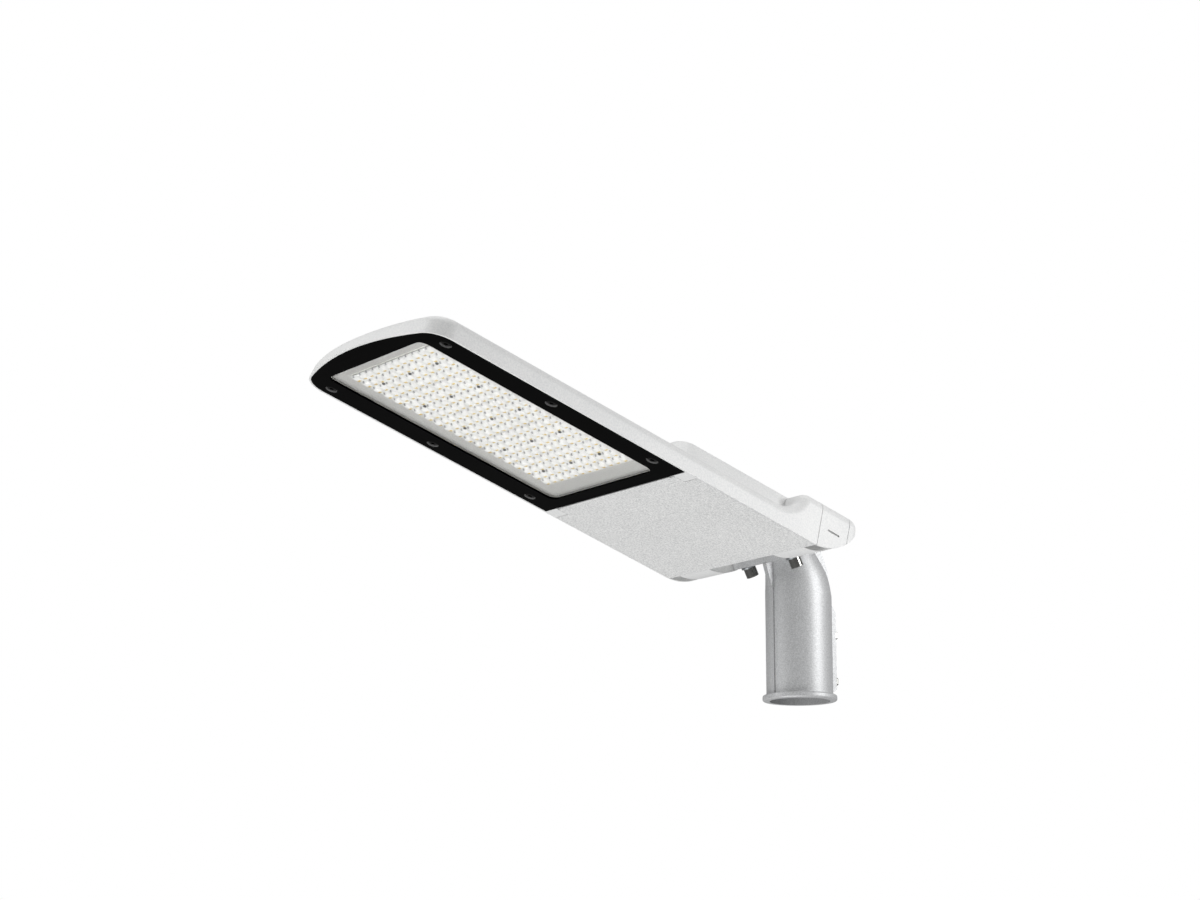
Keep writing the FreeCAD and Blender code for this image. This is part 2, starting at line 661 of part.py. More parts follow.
def tail_cuts():
    """Leaves only the core of the tail where the hood wraps round it, and opens the curved recess."""
    x0, x1 = S["hood_front"] - S["hood_gap"], S["hood_rear"] + S["hood_gap"]
    core, wide = S["core_half_width"], S["head_half_width"] + 5
    roof = S["tail_height"] - S["hood_wall"] - S["gap"]
    cuts = [box_body("NearPocket", x0, x1, -wide, -core, -5, 60),
            box_body("FarPocket", x0, x1, core, wide, -5, 60),
            box_body("HoodRoom", x0, x1, -wide, wide, roof, 60)]
    x, z = S["arc_start"], S["arc_radius"]
    half = S["recess_half_width"]
    cuts.append(sector_body("Recess", x, z, S["seat_outer"], S["arc_radius"] + 6, 5, 67, half))
    inside = arc_bar("InsideRound", x, z, None, S["seat_inner"], half + 8)
    limit = box_body("InsideLimit", S["bay_rear"] + 4, S["core_rear"] + 4, -half - 8, half + 8, 0, roof)
    cuts.append(common("TailRoom", inside, limit))
    start = S["bolt_angle"] - 5.5
    for y in (-S["bolt_row"], S["bolt_row"]):
        slot = sector_body("BoltSlot", x, z, S["seat_inner"] - 4, S["seat_outer"] + 2,
                           start, S["tilt_travel"] + 11,
                           S["bolt_radius"] + 0.6)
        bind(slot, "Placement.Base.y", y)
        cuts.append(slot)
    cuts.append(sector_body("CableSlot", x, z, S["seat_inner"] - 4, S["seat_outer"] + 2,
                            S["cable_angle"] - 11,
                            S["tilt_travel"] + 22, 12))
    return cuts


def bay_wall_holes():
    """Holes for the cable gland, the breather, the lead to the LED board and the earth screw."""
    rear = S["bay_rear"] - 1
    return [cylinder("GlandHole", (rear, 0, S["gland_z"]), (1, 0, 0), S["gland_thread"] + 0.05, 8),
            cylinder("VentHole", (rear, S["vent_y"], S["gland_z"]), (1, 0, 0), S["vent_thread"] + 0.05, 8),
            cylinder("LeadHole", (S["window_length"] / 2, S["lead_y"], S["lead_z"]), (1, 0, 0),
                     S["grommet_radius"], S["bay_front"] + 4 - S["window_length"] / 2)]


def frame_screw_holes(radius, length, z=0):
    return [cylinder("FrameScrewHole", (x, y, z), (0, 0, 1), radius, length) for x, y in frame_spots()]


def hood_spots():
    rows = (-S["hood_screw_row"], S["hood_screw_row"])
    return [(x, y) for x in (S["hood_front"] + 5, S["hood_rear"] - 5) for y in rows]


def tray_spots():
    x0, x1 = S["bay_front"] + 14, S["bay_rear"] - 12
    y = S["bay_half_width"] - 14
    return [(x, side * y) for x in (x0, x1) for side in (1, -1)]


def gear_bosses():
    """Bosses under the roof of the bay that carry the gear plate."""
    top = S["tail_height"] - S["wall"] / 2
    return [cylinder("GearBoss", (x, y, S["plate_z"] + S["plate_thickness"]), (0, 0, 1), 5,
                     top - S["plate_z"] - S["plate_thickness"]) for x, y in tray_spots()]


def housing():
    form = cut("HeadSolid", fuse("HeadMass", [head_form(), hump_form()]), [below_arc()])
    cuts = led_side_cuts() + [top_room()] + gear_bay_cuts() + tail_cuts() + bay_wall_holes()
    cuts += pin_holes(S["pin_radius"] + 0.02, 0.5)
    cuts += frame_screw_holes(S["frame_screw"] + 0.02, 12, 3)
    screw = S["hood_screw"] + 0.02
    cuts += [cylinder("HoodScrewHole", (x, y, S["tail_height"] - 12), (0, 0, 1), screw, 20)
             for x, y in hood_spots()]
    open_form = cut("OpenForm", form, cuts)
    solid = fuse("HousingSolid", [open_form, fin_field()] + gear_bosses())
    screw = S["tray_screw"] + 0.02
    holes = [cylinder("TrayScrewHole", (x, y, S["plate_z"] - 1), (0, 0, 1), screw, 9.5)
             for x, y in tray_spots()]
    holes.append(cylinder("EarthHole", earth_spot(), (1, 0, 0), S["tray_screw"] + 0.02, 5.5))
    screw = S["lens_screw"] + 0.02
    holes += [cylinder("LensScrewHole", (x, y, S["seat_depth"] - 1), (0, 0, 1), screw, 3.2)
              for x, y in plate_spots()]
    return as_subpart(cut("Housing", solid, holes), "housing")


def earth_spot():
    return (S["bay_rear"] - 1, 32 - S["bay_half_width"], S["gland_z"])


def bezel_frame():
    """The black frame that clamps the glass."""
    body = nose_body("Frame", S["frame_half_width"], S["frame_nose"], S["frame_rear"], S["frame_corner"],
                     0, S["frame_thickness"])
    x, y = S["window_length"] / 2, S["window_width"] / 2
    sketch = new_sketch(body, "XY_Plane")
    draw_round_box(sketch, -x, x, -y, y, S["window_corner"])
    pocket(body, sketch, S["frame_thickness"] + 1, reverse=True)
    m = S["glass_margin"] + S["gap"]
    sketch = new_sketch(body, "XY_Plane", S["frame_lip"])
    draw_round_box(sketch, -x - m, x + m, -y - m, y + m, S["window_corner"] + m)
    pocket(body, sketch, S["frame_thickness"], reverse=True)
    sketch = new_sketch(body, "XY_Plane")
    for sx, sy in frame_spots():
        draw_circle(sketch, sx, sy, S["frame_screw_head"] + 0.6)
    pocket(body, sketch, S["frame_lip"] + 0.4, reverse=True)
    sketch = new_sketch(body, "XY_Plane")
    for sx, sy in frame_spots():
        draw_circle(sketch, sx, sy, S["frame_screw"] + 0.05)
    pocket(body, sketch, S["frame_thickness"] + 1, reverse=True)
    return as_subpart(body, "bezel_frame")


def glass_sheet():
    m = S["glass_margin"]
    x, y = S["window_length"] / 2 + m, S["window_width"] / 2 + m
    r = S["window_corner"] + m
    z = S["frame_lip"]
    as_subpart(round_box_body("Glass", -x, x, -y, y, z, z + S["glass_thickness"], r), "glass_pane")
    z = z + S["glass_thickness"]
    ring = round_box_body("Gasket", -x, x, -y, y, z, z + S["gasket_thickness"], r)
    sketch = new_sketch(ring, "XY_Plane", z)
    draw_round_box(sketch, 4 - x, x - 4, 4 - y, y - 4, r - 4)
    pocket(ring, sketch, S["gasket_thickness"] + 1, reverse=True)
    as_subpart(ring, "glass_gasket")


def reflector_tray():
    """Light grey tray whose shallow walls run from the window down to the lenses."""
    m = S["glass_margin"]
    x, y = S["window_length"] / 2, S["window_width"] / 2
    z0 = S["frame_lip"] + S["glass_thickness"] + S["gasket_thickness"]
    z1 = S["board_face"]
    body = round_box_body("Tray", -x - m, x + m, -y - m, y + m, z0, z1, S["window_corner"] + m)
    fx, fy = S["field_half_length"] + 1, S["field_half_width"] + 1
    wide = new_sketch(body, "XY_Plane", z0)
    draw_round_box(wide, -x, x, -y, y, S["window_corner"])
    narrow = new_sketch(body, "XY_Plane", z1)
    draw_round_box(narrow, -fx, fx, -fy, fy, 3)
    loft = body.newObject("PartDesign::SubtractiveLoft", "Slopes")
    loft.Profile = wide
    loft.Sections = [narrow]
    loft.Ruled = True
    doc.recompute()
    return as_subpart(body, "reflector_tray")


def led_board():
    x, y = S["field_half_length"] + 6, S["field_half_width"] + 6
    body = round_box_body("Board", -x, x, -y, y, S["board_face"], S["seat_depth"], 3)
    sketch = new_sketch(body, "XY_Plane", S["board_face"])
    for sx, sy in plate_spots():
        draw_circle(sketch, sx, sy, S["lens_screw"] + 0.2)
    pocket(body, sketch, 5, reverse=True)
    as_subpart(body, "led_board")


def repeat_item(name, item, spots):
    """A group of equal pieces at the given spots."""
    links = []
    for x, y in spots:
        link = doc.addObject("App::Link", f"{name}Copy")
        link.LinkedObject = item
        bind(link, "Placement.Base.x", x)
        bind(link, "Placement.Base.y", y)
        links.append(link)
    group = doc.addObject("Part::Compound", name)
    group.Links = links
    return group


def grid_spots(count_x, count_y, pitch):
    x0, y0 = -pitch * (count_x - 1) / 2, -pitch * (count_y - 1) / 2
    return [(x0 + pitch * i, y0 + pitch * k) for i in range(count_x) for k in range(count_y)]


def plate_spots():
    pitch = S["lens_pitch"] * S["lens_rows"]
    return grid_spots(int(S["plates_long"].value), int(S["plates_wide"].value), pitch)


def lens_spots():
    rows = int(S["lens_rows"].value)
    return grid_spots(rows, rows, S["lens_pitch"])


def led_chips():
    z = S["board_face"] - S["chip_height"]
    side = S["chip_side"] / 2
    body = box_body("Chip", -side, side, -side, side, z, z + S["chip_height"])
    field = repeat_item("ChipModule", body, lens_spots())
    as_subpart(repeat_item("Chips", field, plate_spots()), "led_chips")


def lens_plates():
    """Clear plates with sixteen lenses each, standing on a low rim over their LEDs."""
    top, base = S["board_face"], S["lens_seat"]
    half = S["lens_pitch"] * S["lens_rows"] / 2 - S["gap"]
    body = box_body("LensPlate", -half, half, -half, half, base, top)
    sketch = new_sketch(body, "XY_Plane", top - S["lens_gap"])
    draw_box(sketch, 1.5 - half, half - 1.5, 1.5 - half, half - 1.5)
    pocket(body, sketch, 5, reverse=True)
    sketch = new_sketch(body, "XY_Plane", base)
    wide = S["lens_side"] / 2
    for x, y in lens_spots():
        draw_box(sketch, x - wide, x + wide, y - wide, y + wide)
    pad(body, sketch, S["lens_rise"], taper=-S["lens_slope"], reverse=True)
    sketch = new_sketch(body, "XY_Plane", top)
    draw_circle(sketch, 0, 0, S["lens_screw"] + 0.05)
    pocket(body, sketch, 10)
    as_subpart(repeat_item("LensPlates", body, plate_spots()), "lens_plates")


def screw(name, z, shank, length, head, head_height, down=False):
    """A screw on the z axis, its head below the seat at z (or above it when it points down)."""
    sign = -1 if down else 1
    body = new_body(name)
    sketch = new_sketch(body, "XY_Plane", z)
    draw_circle(sketch, 0, 0, head)
    pad(body, sketch, head_height, reverse=not down)
    sketch = new_sketch(body, "XY_Plane", z)
    draw_circle(sketch, 0, 0, shank)
    pad(body, sketch, length, reverse=down)
    sketch = new_sketch(body, "XY_Plane", as_size(z) - sign * as_size(head_height))
    side = as_size(head) * 0.4
    draw_box(sketch, -side, side, -side, side)
    pocket(body, sketch, as_size(head_height) * 0.6, reverse=not down)
    return body


def screws():
    """All screws of the head, each kind a group of equal pieces."""
    frame = screw("FrameScrew", S["frame_lip"] + 0.4, S["frame_screw"], 11, S["frame_screw_head"], 1.8)
    as_subpart(repeat_item("FrameScrews", frame, frame_spots()), "bezel_screws")
    reach = S["seat_depth"] + 2 - S["lens_seat"]
    lens = screw("LensScrew", S["lens_seat"], S["lens_screw"], reach, S["lens_screw_head"], 1.4)
    as_subpart(repeat_item("LensScrews", lens, plate_spots()), "lens_screws")
    hood = screw("HoodScrew", S["tail_height"], S["hood_screw"], 10, 4, 2.2, down=True)
    as_subpart(repeat_item("HoodScrews", hood, hood_spots()), "hood_screws")
    tray = screw("TrayScrew", S["plate_z"], S["tray_screw"], 7, 3.6, 2)
    as_subpart(repeat_item("TrayScrews", tray, tray_spots()), "gear_plate_screws")


def driver_cover():
    """Flat door of the gear bay with its hinge barrels and latch tongues."""
    front, rear = S["frame_rear"] + S["cover_hinge_gap"], S["cover_rear"]
    w, n = S["cover_half_width"], S["lug_inner"] - 0.4
    step = S["frame_rear"] + S["lug_length"] + 0.6
    body = new_body("Cover")
    sketch = new_sketch(body, "XY_Plane")
    draw_outline(sketch, [(front, -n), (step, -n), (step, -w), (rear, -w),
                          (rear, w), (step, w), (step, n), (front, n)])
    pad(body, sketch, S["cover_thickness"])
    sketch = new_sketch(body, "XY_Plane")
    for y0, y1 in ((n - 8, n + 1), (-n - 1, 8 - n)):
        draw_box(sketch, front - 1, front + 4.5, y0, y1)
    pocket(body, sketch, S["cover_thickness"] + 1, reverse=True)
    inner = S["lug_inner"] - 19
    parts = [body]
    for y in (inner, -n):
        barrel = cylinder("Barrel", (S["pin_x"], y, S["pin_z"]), (0, 1, 0), S["barrel_radius"], n - inner)
        parts.append(barrel)
    x1 = S["bay_rear"] - 4
    for y in (S["latch_row"] - 6, -S["latch_row"] - 6):
        parts.append(box_body("Tongue", x1 - 2, x1, y, y + 12, S["cover_thickness"] - 1, 11))
        parts.append(box_body("Catch", x1 - 1, x1 + 1.4, y, y + 12, 8.6, 11))
    edge = S["bay_half_width"] - 22
    for y in (-edge, as_size(0), edge):
        parts.append(box_body("Rib", S["bay_front"] + 4, S["bay_rear"] - 14, y - 1, y + 1,
                              S["cover_thickness"] - 1, 7))
    holes = pin_holes(S["pin_radius"] + 0.05, 0.5)
    as_subpart(cut("CoverSolid", fuse("CoverForm", parts), holes), "driver_cover")


def cover_gasket():
    x0, x1 = S["bay_front"] - 3, S["bay_rear"] + 4.5
    y = S["cover_half_width"] - 3
    z = S["cover_thickness"]
    ring = round_box_body("CoverGasket", x0, x1, -y, y, z, S["cover_seat"], 7)
    sketch = new_sketch(ring, "XY_Plane", z)
    draw_round_box(sketch, x0 + 3.5, x1 - 4, 3.5 - y, y - 3.5, 4)
    pocket(ring, sketch, 5, reverse=True)
    as_subpart(ring, "cover_gasket")


def hinge_pins():
    as_subpart(fuse("Pins", pin_holes(S["pin_radius"], 0)), "hinge_pins")


def latch_clips():
    """Spring steel clips on the rear wall that hold the cover's tongues."""
    wall_x = S["bay_rear"]
    clips = []
    for side in (-1, 1):
        y = side * S["latch_row"]
        leaf = box_body("ClipLeaf", wall_x - 0.8, wall_x, y - 5, y + 5, 6, 24)
        roll = cylinder("ClipRoll", (wall_x - 1.5, y - 5, 6.9), (0, 1, 0), 0.95, 10)
        clips.append(fuse("Clip", [leaf, roll]))
    group = doc.addObject("Part::Compound", "Clips")
    group.Links = clips
    as_subpart(group, "latch_clips")


def gear():
    """Steel plate with the LED driver, the surge protector and the terminal block."""
    z, top = S["plate_z"], S["plate_z"] + S["plate_thickness"]
    x0, x1 = S["bay_front"] + 6, S["bay_rear"] - 5
    y = S["bay_half_width"] - 7
    plate = round_box_body("GearPlate", x0, x1, -y, y, z, top, 4)
    sketch = new_sketch(plate, "XY_Plane", z)
    for sx, sy in tray_spots():
        draw_circle(sketch, sx, sy, S["tray_screw"] + 0.05)
    pocket(plate, sketch, 5, reverse=True)
    as_subpart(plate, "gear_plate")
    x, w = S["driver_x"], S["driver_length"]
    y0, y1 = -S["bay_half_width"] + 22, S["driver_side"]
    driver = round_box_body("Driver", x, x + w, y0, y1, z - S["driver_height"], z, 3)
    sketch = new_sketch(driver, "XY_Plane", z)
    draw_box(sketch, x - 8, x + w + 8, (y0 + y1) / 2 - 8, (y0 + y1) / 2 + 8)
    pad(driver, sketch, 1.2, reverse=True)
    as_subpart(driver, "led_driver")
    surge = round_box_body("Surge", x + w - 50, x + w, 12, 48, z - 22, z, 4)
    as_subpart(surge, "surge_protector")
    terminal = box_body("Terminal", x - 6, x + 28, 8, 46, z - 16, z)
    for i in range(4):
        sketch = new_sketch(terminal, "XY_Plane", z - 16)
        draw_circle(sketch, x + 2, 13 + 9 * i, 2)
        draw_circle(sketch, x + 20, 13 + 9 * i, 2)
        pocket(terminal, sketch, 5, reverse=True)
    as_subpart(terminal, "terminal_block")


def round_bar(name, x, y, z, radius, length):
    return cylinder(name, (x, y, z), (1, 0, 0), radius, length)


def fittings():
    """Cable gland, breather vent, grommet and earth screw."""
    wall_x, z = S["bay_rear"], S["gland_z"]
    body = [round_bar("GlandThread", wall_x - 5, 0, z, S["gland_thread"], 14),
            round_bar("GlandFlange", wall_x - 3, 0, z, S["gland_thread"] + 3.5, 3),
            round_bar("GlandDome", wall_x - 11, 0, z, S["gland_thread"] - 0.5, 8)]
    bore = [round_bar("GlandBore", wall_x - 12, 0, z, 4.5, 30)]
    as_subpart(cut("Gland", fuse("GlandSolid", body), bore), "cable_gland")
    nut = [round_bar("GlandNut", wall_x + 4, 0, z, S["gland_thread"] + 3.5, 4)]
    ring = cut("GlandNutRing", nut[0], [round_bar("NutBore", wall_x + 3, 0, z, S["gland_thread"] + 0.05, 6)])
    as_subpart(ring, "gland_nut")
    vent = [round_bar("VentPlug", wall_x - 1, S["vent_y"], z, S["vent_thread"], 5),
            round_bar("VentCap", wall_x - 4, S["vent_y"], z, S["vent_thread"] + 2.5, 4)]
    as_subpart(fuse("Vent", vent), "breather_vent")
    ring = [round_bar("GrommetSleeve", S["bay_front"] - 5, S["lead_y"], S["lead_z"], S["grommet_radius"], 6),
            round_bar("GrommetFlange", S["bay_front"], S["lead_y"], S["lead_z"],
                      S["grommet_radius"] + 2, 1.5)]
    hole = round_bar("GrommetBore", S["bay_front"] - 6, S["lead_y"], S["lead_z"], S["lead_radius"] + 0.2, 10)
    as_subpart(cut("Grommet", fuse("GrommetSolid", ring), [hole]), "lead_grommet")
    x, y, z = earth_spot()
    stud = [round_bar("EarthShank", x - 4, y, z, S["tray_screw"], 8.5),
            round_bar("EarthHead", x - 5, y, z, 4, 3)]
    as_subpart(fuse("Earth", stud), "earth_screw")


def led_lead():
    """Lead from the driver through the grommet to the LED board."""
    body = new_body("Lead")
    z0, z1, r = S["lead_z"], S["plate_z"] - S["driver_height"] / 2, 5
    x1 = S["bay_front"] + 7
    path = new_sketch(body, "XZ_Plane", -S["lead_y"])
    start = S["field_half_length"] + 6.2
    draw_outline(path, [(start, z0), (x1, z0, r, 1), (x1 + r, z0 + r),
                        (x1 + r, z1 - r, r, -1), (x1 + 2 * r, z1),
                        (S["driver_x"] - 0.1, z1)], closed=False)
    profile = new_sketch(body, "YZ_Plane", start)
    draw_circle(profile, S["lead_y"], z0, S["lead_radius"])
    pipe = body.newObject("PartDesign::AdditivePipe", "Run")
    pipe.Profile = profile
    pipe.Spine = (path, [])
    doc.recompute()
    as_subpart(body, "led_lead")


def tail_hood():
    """Thin hood that wraps the tail between the slab and the rear end."""
    half = S["head_half_width"] + 5
    span = box_body("HoodSpan", S["hood_front"], S["hood_rear"], -half, half, 0, S["tail_height"] + 5)
    shell = common("HoodForm", tail_form("HoodOuter", as_size(0)), span)
    cuts = [tail_form("HoodInner", S["hood_wall"]), below_arc()]
    cuts.append(box_body("HoodSlot", S["hood_front"] + 10, S["hood_front"] + 25, -half, half, 20, 22))
    radius = S["hood_screw"] + 0.05
    cuts += [cylinder("HoodHole", (x, y, S["tail_height"] - 8), (0, 0, 1), radius, 12)
             for x, y in hood_spots()]
    as_subpart(cut("Hood", shell, cuts), "tail_hood")


def radial_bar(name, angle, y, inner, outer, radius):
    """A round bar that points at the tilt axis, between two radii."""
    item = doc.addObject("Part::Cylinder", name)
    bind(item, "Radius", radius)
    bind(item, "Height", as_size(outer) - inner)
    item.Placement = Placement(Vector(0, 0, 0), Rotation(Vector(0, 1, 0), -30))
    bind(item, "Placement.Rotation.Angle", (0 - as_size(angle)) * as_size(1))
    bind(item, "Placement.Base.x", S["pivot_x"] + as_size(outer) * sine(angle))
    bind(item, "Placement.Base.y", y)
    bind(item, "Placement.Base.z", S["pivot_z"] - as_size(outer) * cosine(angle))
    return item


def spigot():
    """One casting: the socket, the leaning neck, its webs and the curved saddle."""
    tube = cylinder("Tube", (0, 0, 0), (0, 0, 1), S["tube_radius"], S["socket_depth"] + 6)
    lip = new_body("Lip")
    sketch = new_sketch(lip, "XY_Plane")
    draw_circle(sketch, 0, 0, S["lip_radius"])
    pad(lip, sketch, S["lip_height"])
    fillet(lip, 2, lambda e: flat_edge(e, S["lip_height"].value) or flat_edge(e, 0))
    neck = new_body("Neck")
    sections = []
    foot, share = S["socket_depth"], S["neck_rise"] / 64
    steps = ((0, 0, 0), (20, 1.4, 1.3), (31, 3.3, 3.6), (42, 6.1, 7.4), (54, 9.7, 11.8), (64, 13, 15.5))
    for rise, shrink, lean in steps:
        sketch = new_sketch(neck, "XY_Plane", foot + share * rise if rise else foot + 6)
        draw_circle(sketch, S["pivot_x"] * lean / 60, 0, S["tube_radius"] - shrink)
        sections.append(sketch)
    loft = neck.newObject("PartDesign::AdditiveLoft", "NeckLoft")
    loft.Profile = sections[0]
    loft.Sections = sections[1:]
    doc.recompute()
    half = S["tube_radius"]
    web = new_body("FrontWeb")
    sketch = new_sketch(web, "XZ_Plane")
    edge = -half - 1.2
    draw_outline(sketch, [(edge, 3), (-half + 8, 3), (-half + 20, foot + share * 10),
                          (-10, foot + share * 50), (-30, foot + share * 50),
                          (edge - 8.5, foot + share * 36), (edge, foot + share * 9)])
    pad(web, sketch, 5.5, both_ways=True)
    reach = S["clamp_pad_reach"]
    rear = new_body("RearPad")
    sketch = new_sketch(rear, "XZ_Plane")
    draw_outline(sketch, [(half - 1, 12), (reach - 4, 12, 4, 1), (reach, 16),
                          (reach, foot - 8), (half - 2, foot + 9)])
    pad(rear, sketch, 16, both_ways=True)
    fin = new_body("RearWeb")
    sketch = new_sketch(fin, "XZ_Plane")
    draw_outline(sketch, [(half - 2, foot - 25), (reach - 0.5, foot - 15), (reach - 0.5, foot),
                          (reach - 6, foot + share * 36), (reach - 14, foot + share * 56),
                          (0, foot + share * 63), (-10, foot + share * 50)])
    pad(fin, sketch, 6, both_ways=True)
    solid = fuse("SpigotSolid", [tube, lip, neck, web, rear, fin])
    x, z = S["pivot_x"], S["pivot_z"]
    saddle = sector_body("Saddle", x, z, S["saddle_inner"], S["saddle_outer"],
                         S["saddle_start"], S["saddle_sweep"], S["saddle_half_width"])
    clear = arc_bar("ArcClear", x, z, None, S["saddle_inner"], 80)
    behind = sector_body("RearClear", x, z, S["saddle_inner"] - 3, S["arc_radius"] + 2,
                         S["saddle_start"] + S["saddle_sweep"], 60, 80)
    joined = cut("SpigotJoined", fuse("SpigotFused", [solid, saddle]), [clear, behind])
    cuts = [cylinder("Socket", (0, 0, -1), (0, 0, 1), S["socket_radius"], S["socket_depth"] + 1)]
    cable = doc.addObject("Part::Cylinder", "CableBore")
    bind(cable, "Radius", 7.5)
    bind(cable, "Height", S["neck_rise"] + 11)
    foot = S["socket_depth"] - 4
    cable.Placement = Placement(Vector(-3, 0, foot.value), Rotation(Vector(0, 1, 0), -22))
    bind(cable, "Placement.Base.z", foot)
    cuts.append(cable)
    for y in (-S["bolt_row"], S["bolt_row"]):
        cuts.append(radial_bar("SaddleHole", S["bolt_angle"], y, S["saddle_inner"] - 4, S["saddle_outer"] + 8,
                               S["bolt_radius"] + 0.05))
    for z in (S["clamp_low"], S["clamp_high"]):
        cuts.append(round_bar("ClampHole", 20, 0, z, S["clamp_radius"] + 0.05, 40))
    as_subpart(cut("SpigotBody", joined, cuts), "spigot")


def saddle_hardware():
    """Two cap screws with washers that pull the saddle against the seat by a bar inside the tail."""
    angle, out = S["bolt_angle"], S["saddle_outer"]
    bolts, washers, cuts = [], [], []
    inner = S["seat_inner"] - 6.2
    for y in (-S["bolt_row"], S["bolt_row"]):
        shank = radial_bar("BoltShank", angle, y, inner - 3, out + 2, S["bolt_radius"])
        head = radial_bar("BoltHead", angle, y, out + 1.6, out + 1.6 + S["bolt_head_height"],
                          S["bolt_head_radius"])
        socket = radial_bar("BoltSocket", angle, y, out + 6.6, out + 14, 3.6)
        bolts.append(cut("Bolt", fuse("BoltSolid", [shank, head]), [socket]))
        disc = radial_bar("Washer", angle, y, out, out + 1.6, S["bolt_radius"] * 2)
        hole = radial_bar("WasherHole", angle, y, out - 2, out + 4, S["bolt_radius"] + 0.1)
        washers.append(cut("WasherRing", disc, [hole]))
        cuts.append(radial_bar("NutHole", angle, y, inner - 6, out, S["bolt_radius"] + 0.02))
    for name, items in (("saddle_bolts", bolts), ("saddle_washers", washers)):
        group = doc.addObject("Part::Compound", name)
        group.Links = items
        as_subpart(group, name)
    bar = sector_body("ClampBar", S["pivot_x"], S["pivot_z"], inner, S["seat_inner"] - S["gap"],
                      S["bolt_angle"] - 8, 16, S["recess_half_width"] - 6)
    as_subpart(cut("ClampBarDrilled", bar, cuts), "clamp_bar")


def pole_clamp_bolts():
    """Two hexagon screws in the rear of the socket."""
    start = S["socket_radius"] + 0.5
    bolts = []
    for z in (S["clamp_low"], S["clamp_high"]):
        shank = round_bar("ClampShank", start, 0, z, S["clamp_radius"], S["clamp_pad_reach"] - start + 1)
        head = doc.addObject("Part::Prism", "ClampHead")
        head.Polygon = 6
        bind(head, "Circumradius", S["clamp_radius"] * 1.92)
        bind(head, "Height", 4.8)
        head.Placement = Placement(Vector(0, 0, 0), Rotation(Vector(0, 1, 0), 90))
        bind(head, "Placement.Base.x", S["clamp_pad_reach"])
        bind(head, "Placement.Base.z", z)
        bolts.append(fuse("ClampBolt", [shank, head]))
    group = doc.addObject("Part::Compound", "ClampBolts")
    group.Links = bolts
    as_subpart(group, "pole_clamp_bolts")


def place_head(items):
    """Tilts the level head about the axis of its tail arc."""
    x, z, tilt = S["arc_start"], S["arc_radius"], S["head_tilt"]
    for item in items:
        item.Placement = Placement(Vector(0, 0, 0), Rotation(Vector(0, 1, 0), tilt.value))
        bind(item, "Placement.Rotation.Angle", tilt)
        bind(item, "Placement.Base.x", S["pivot_x"] - x * cosine(tilt) - z * sine(tilt))
        bind(item, "Placement.Base.z", S["pivot_z"] + x * sine(tilt) - z * cosine(tilt))


def check_document():
    for item in doc.Objects:
        bad = [word for word in item.State if word in ("Invalid", "Error")]
        if bad:
            raise RuntimeError(f"{item.Name} ({item.Label}) is {bad}")


def write_parts():
    os.makedirs("parts", exist_ok=True)
    for item in SUBPARTS:
        shape = item.Shape
        if shape.isNull() or not shape.isValid() or not shape.Solids:
            raise RuntimeError(f"{item.Label} has no sound shape")
        shape.exportStep(f"parts/{item.Label}.step")


housing()
bezel_frame()
glass_sheet()
reflector_tray()
led_board()
led_chips()
lens_plates()
screws()
driver_cover()
cover_gasket()
hinge_pins()
latch_clips()
gear()
fittings()
led_lead()
tail_hood()
place_head(list(SUBPARTS))
spigot()
saddle_hardware()
pole_clamp_bolts()
doc.recompute()
check_document()
write_parts()
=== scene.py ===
import json
import math

import bmesh
import bpy
from mathutils import Matrix, Vector


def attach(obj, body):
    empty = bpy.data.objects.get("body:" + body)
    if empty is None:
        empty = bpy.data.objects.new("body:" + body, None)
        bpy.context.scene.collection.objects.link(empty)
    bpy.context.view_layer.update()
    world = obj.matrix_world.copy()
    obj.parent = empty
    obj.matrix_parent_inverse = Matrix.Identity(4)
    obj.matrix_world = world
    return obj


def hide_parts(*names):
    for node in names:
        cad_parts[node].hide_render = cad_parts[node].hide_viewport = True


# LED street light head on its spigot, seen from below.
# The solids' frame has +Z up and the nose of the head towards -X. Its lengths are in metres.
# The head's own pieces are drawn level, with x from the LED field's middle to the rear and z up from its
# underside. HEAD turns them into their tilted place.

MM = 0.001
TILT = math.radians(19)
PIVOT = Vector((-60, 0, 188)) * MM
TAIL_ARC = Vector((310, 0, 55.4)) * MM
HEAD = Matrix.Translation(PIVOT) @ Matrix.Rotation(TILT, 4, "Y") @ Matrix.Translation(-TAIL_ARC)

# The LED field in mm: plates with 4 x 4 lenses each, counted along the head and across it, and two levels.
PLATE_COUNTS = (5, 3)
PLATE_PITCHES = (48, 48)
LED_COUNTS = (20, 12)
LED_PITCHES = (12, 12)
LENS_FLOOR = 9.3
BOARD_FACE = 10.9

# The frame's screws and the round seats they stand in, in mm.
FRAME_SCREW_COUNTS = (3, 2)
FRAME_SCREW_PITCHES = (120.5, 208)
FRAME_SCREW_SEAT = 2.4
FRAME_SEAT_RADIUS = 6.4

# A lens in mm: along the head as x and height, and across it as y and share of that height. Its strips run
# across the head and are counted from the nose, its rows along it.
LENS_PROFILE = ((-6.9, 0.0), (-6.3, 0.9), (-5.2, 1.75), (-3.2, 2.4), (-1.5, 2.55), (-0.2, 2.52), (2.3, 2.05),
                (3.0, 1.1), (3.5, 0.0))
LENS_ROWS = ((-5.2, 0.0), (-4.5, 0.62), (-2.9, 0.9), (-1.5, 1.0), (1.5, 1.0), (2.9, 0.9), (4.5, 0.62),
             (5.2, 0.0))
LENS_MIDDLE = -1.7
LENS_HALF = 5.2
LENS_ROUNDING = 0.36
# The lens strip and rows that carry the painted reflection of the LED.
REFLECTION_STRIP, REFLECTION_ROWS = 5, (2, 3, 4)
# The lens strips and row that carry painted shade at a lens's foot.
SHADE_STRIPS, SHADE_ROW = (0, 1), 3

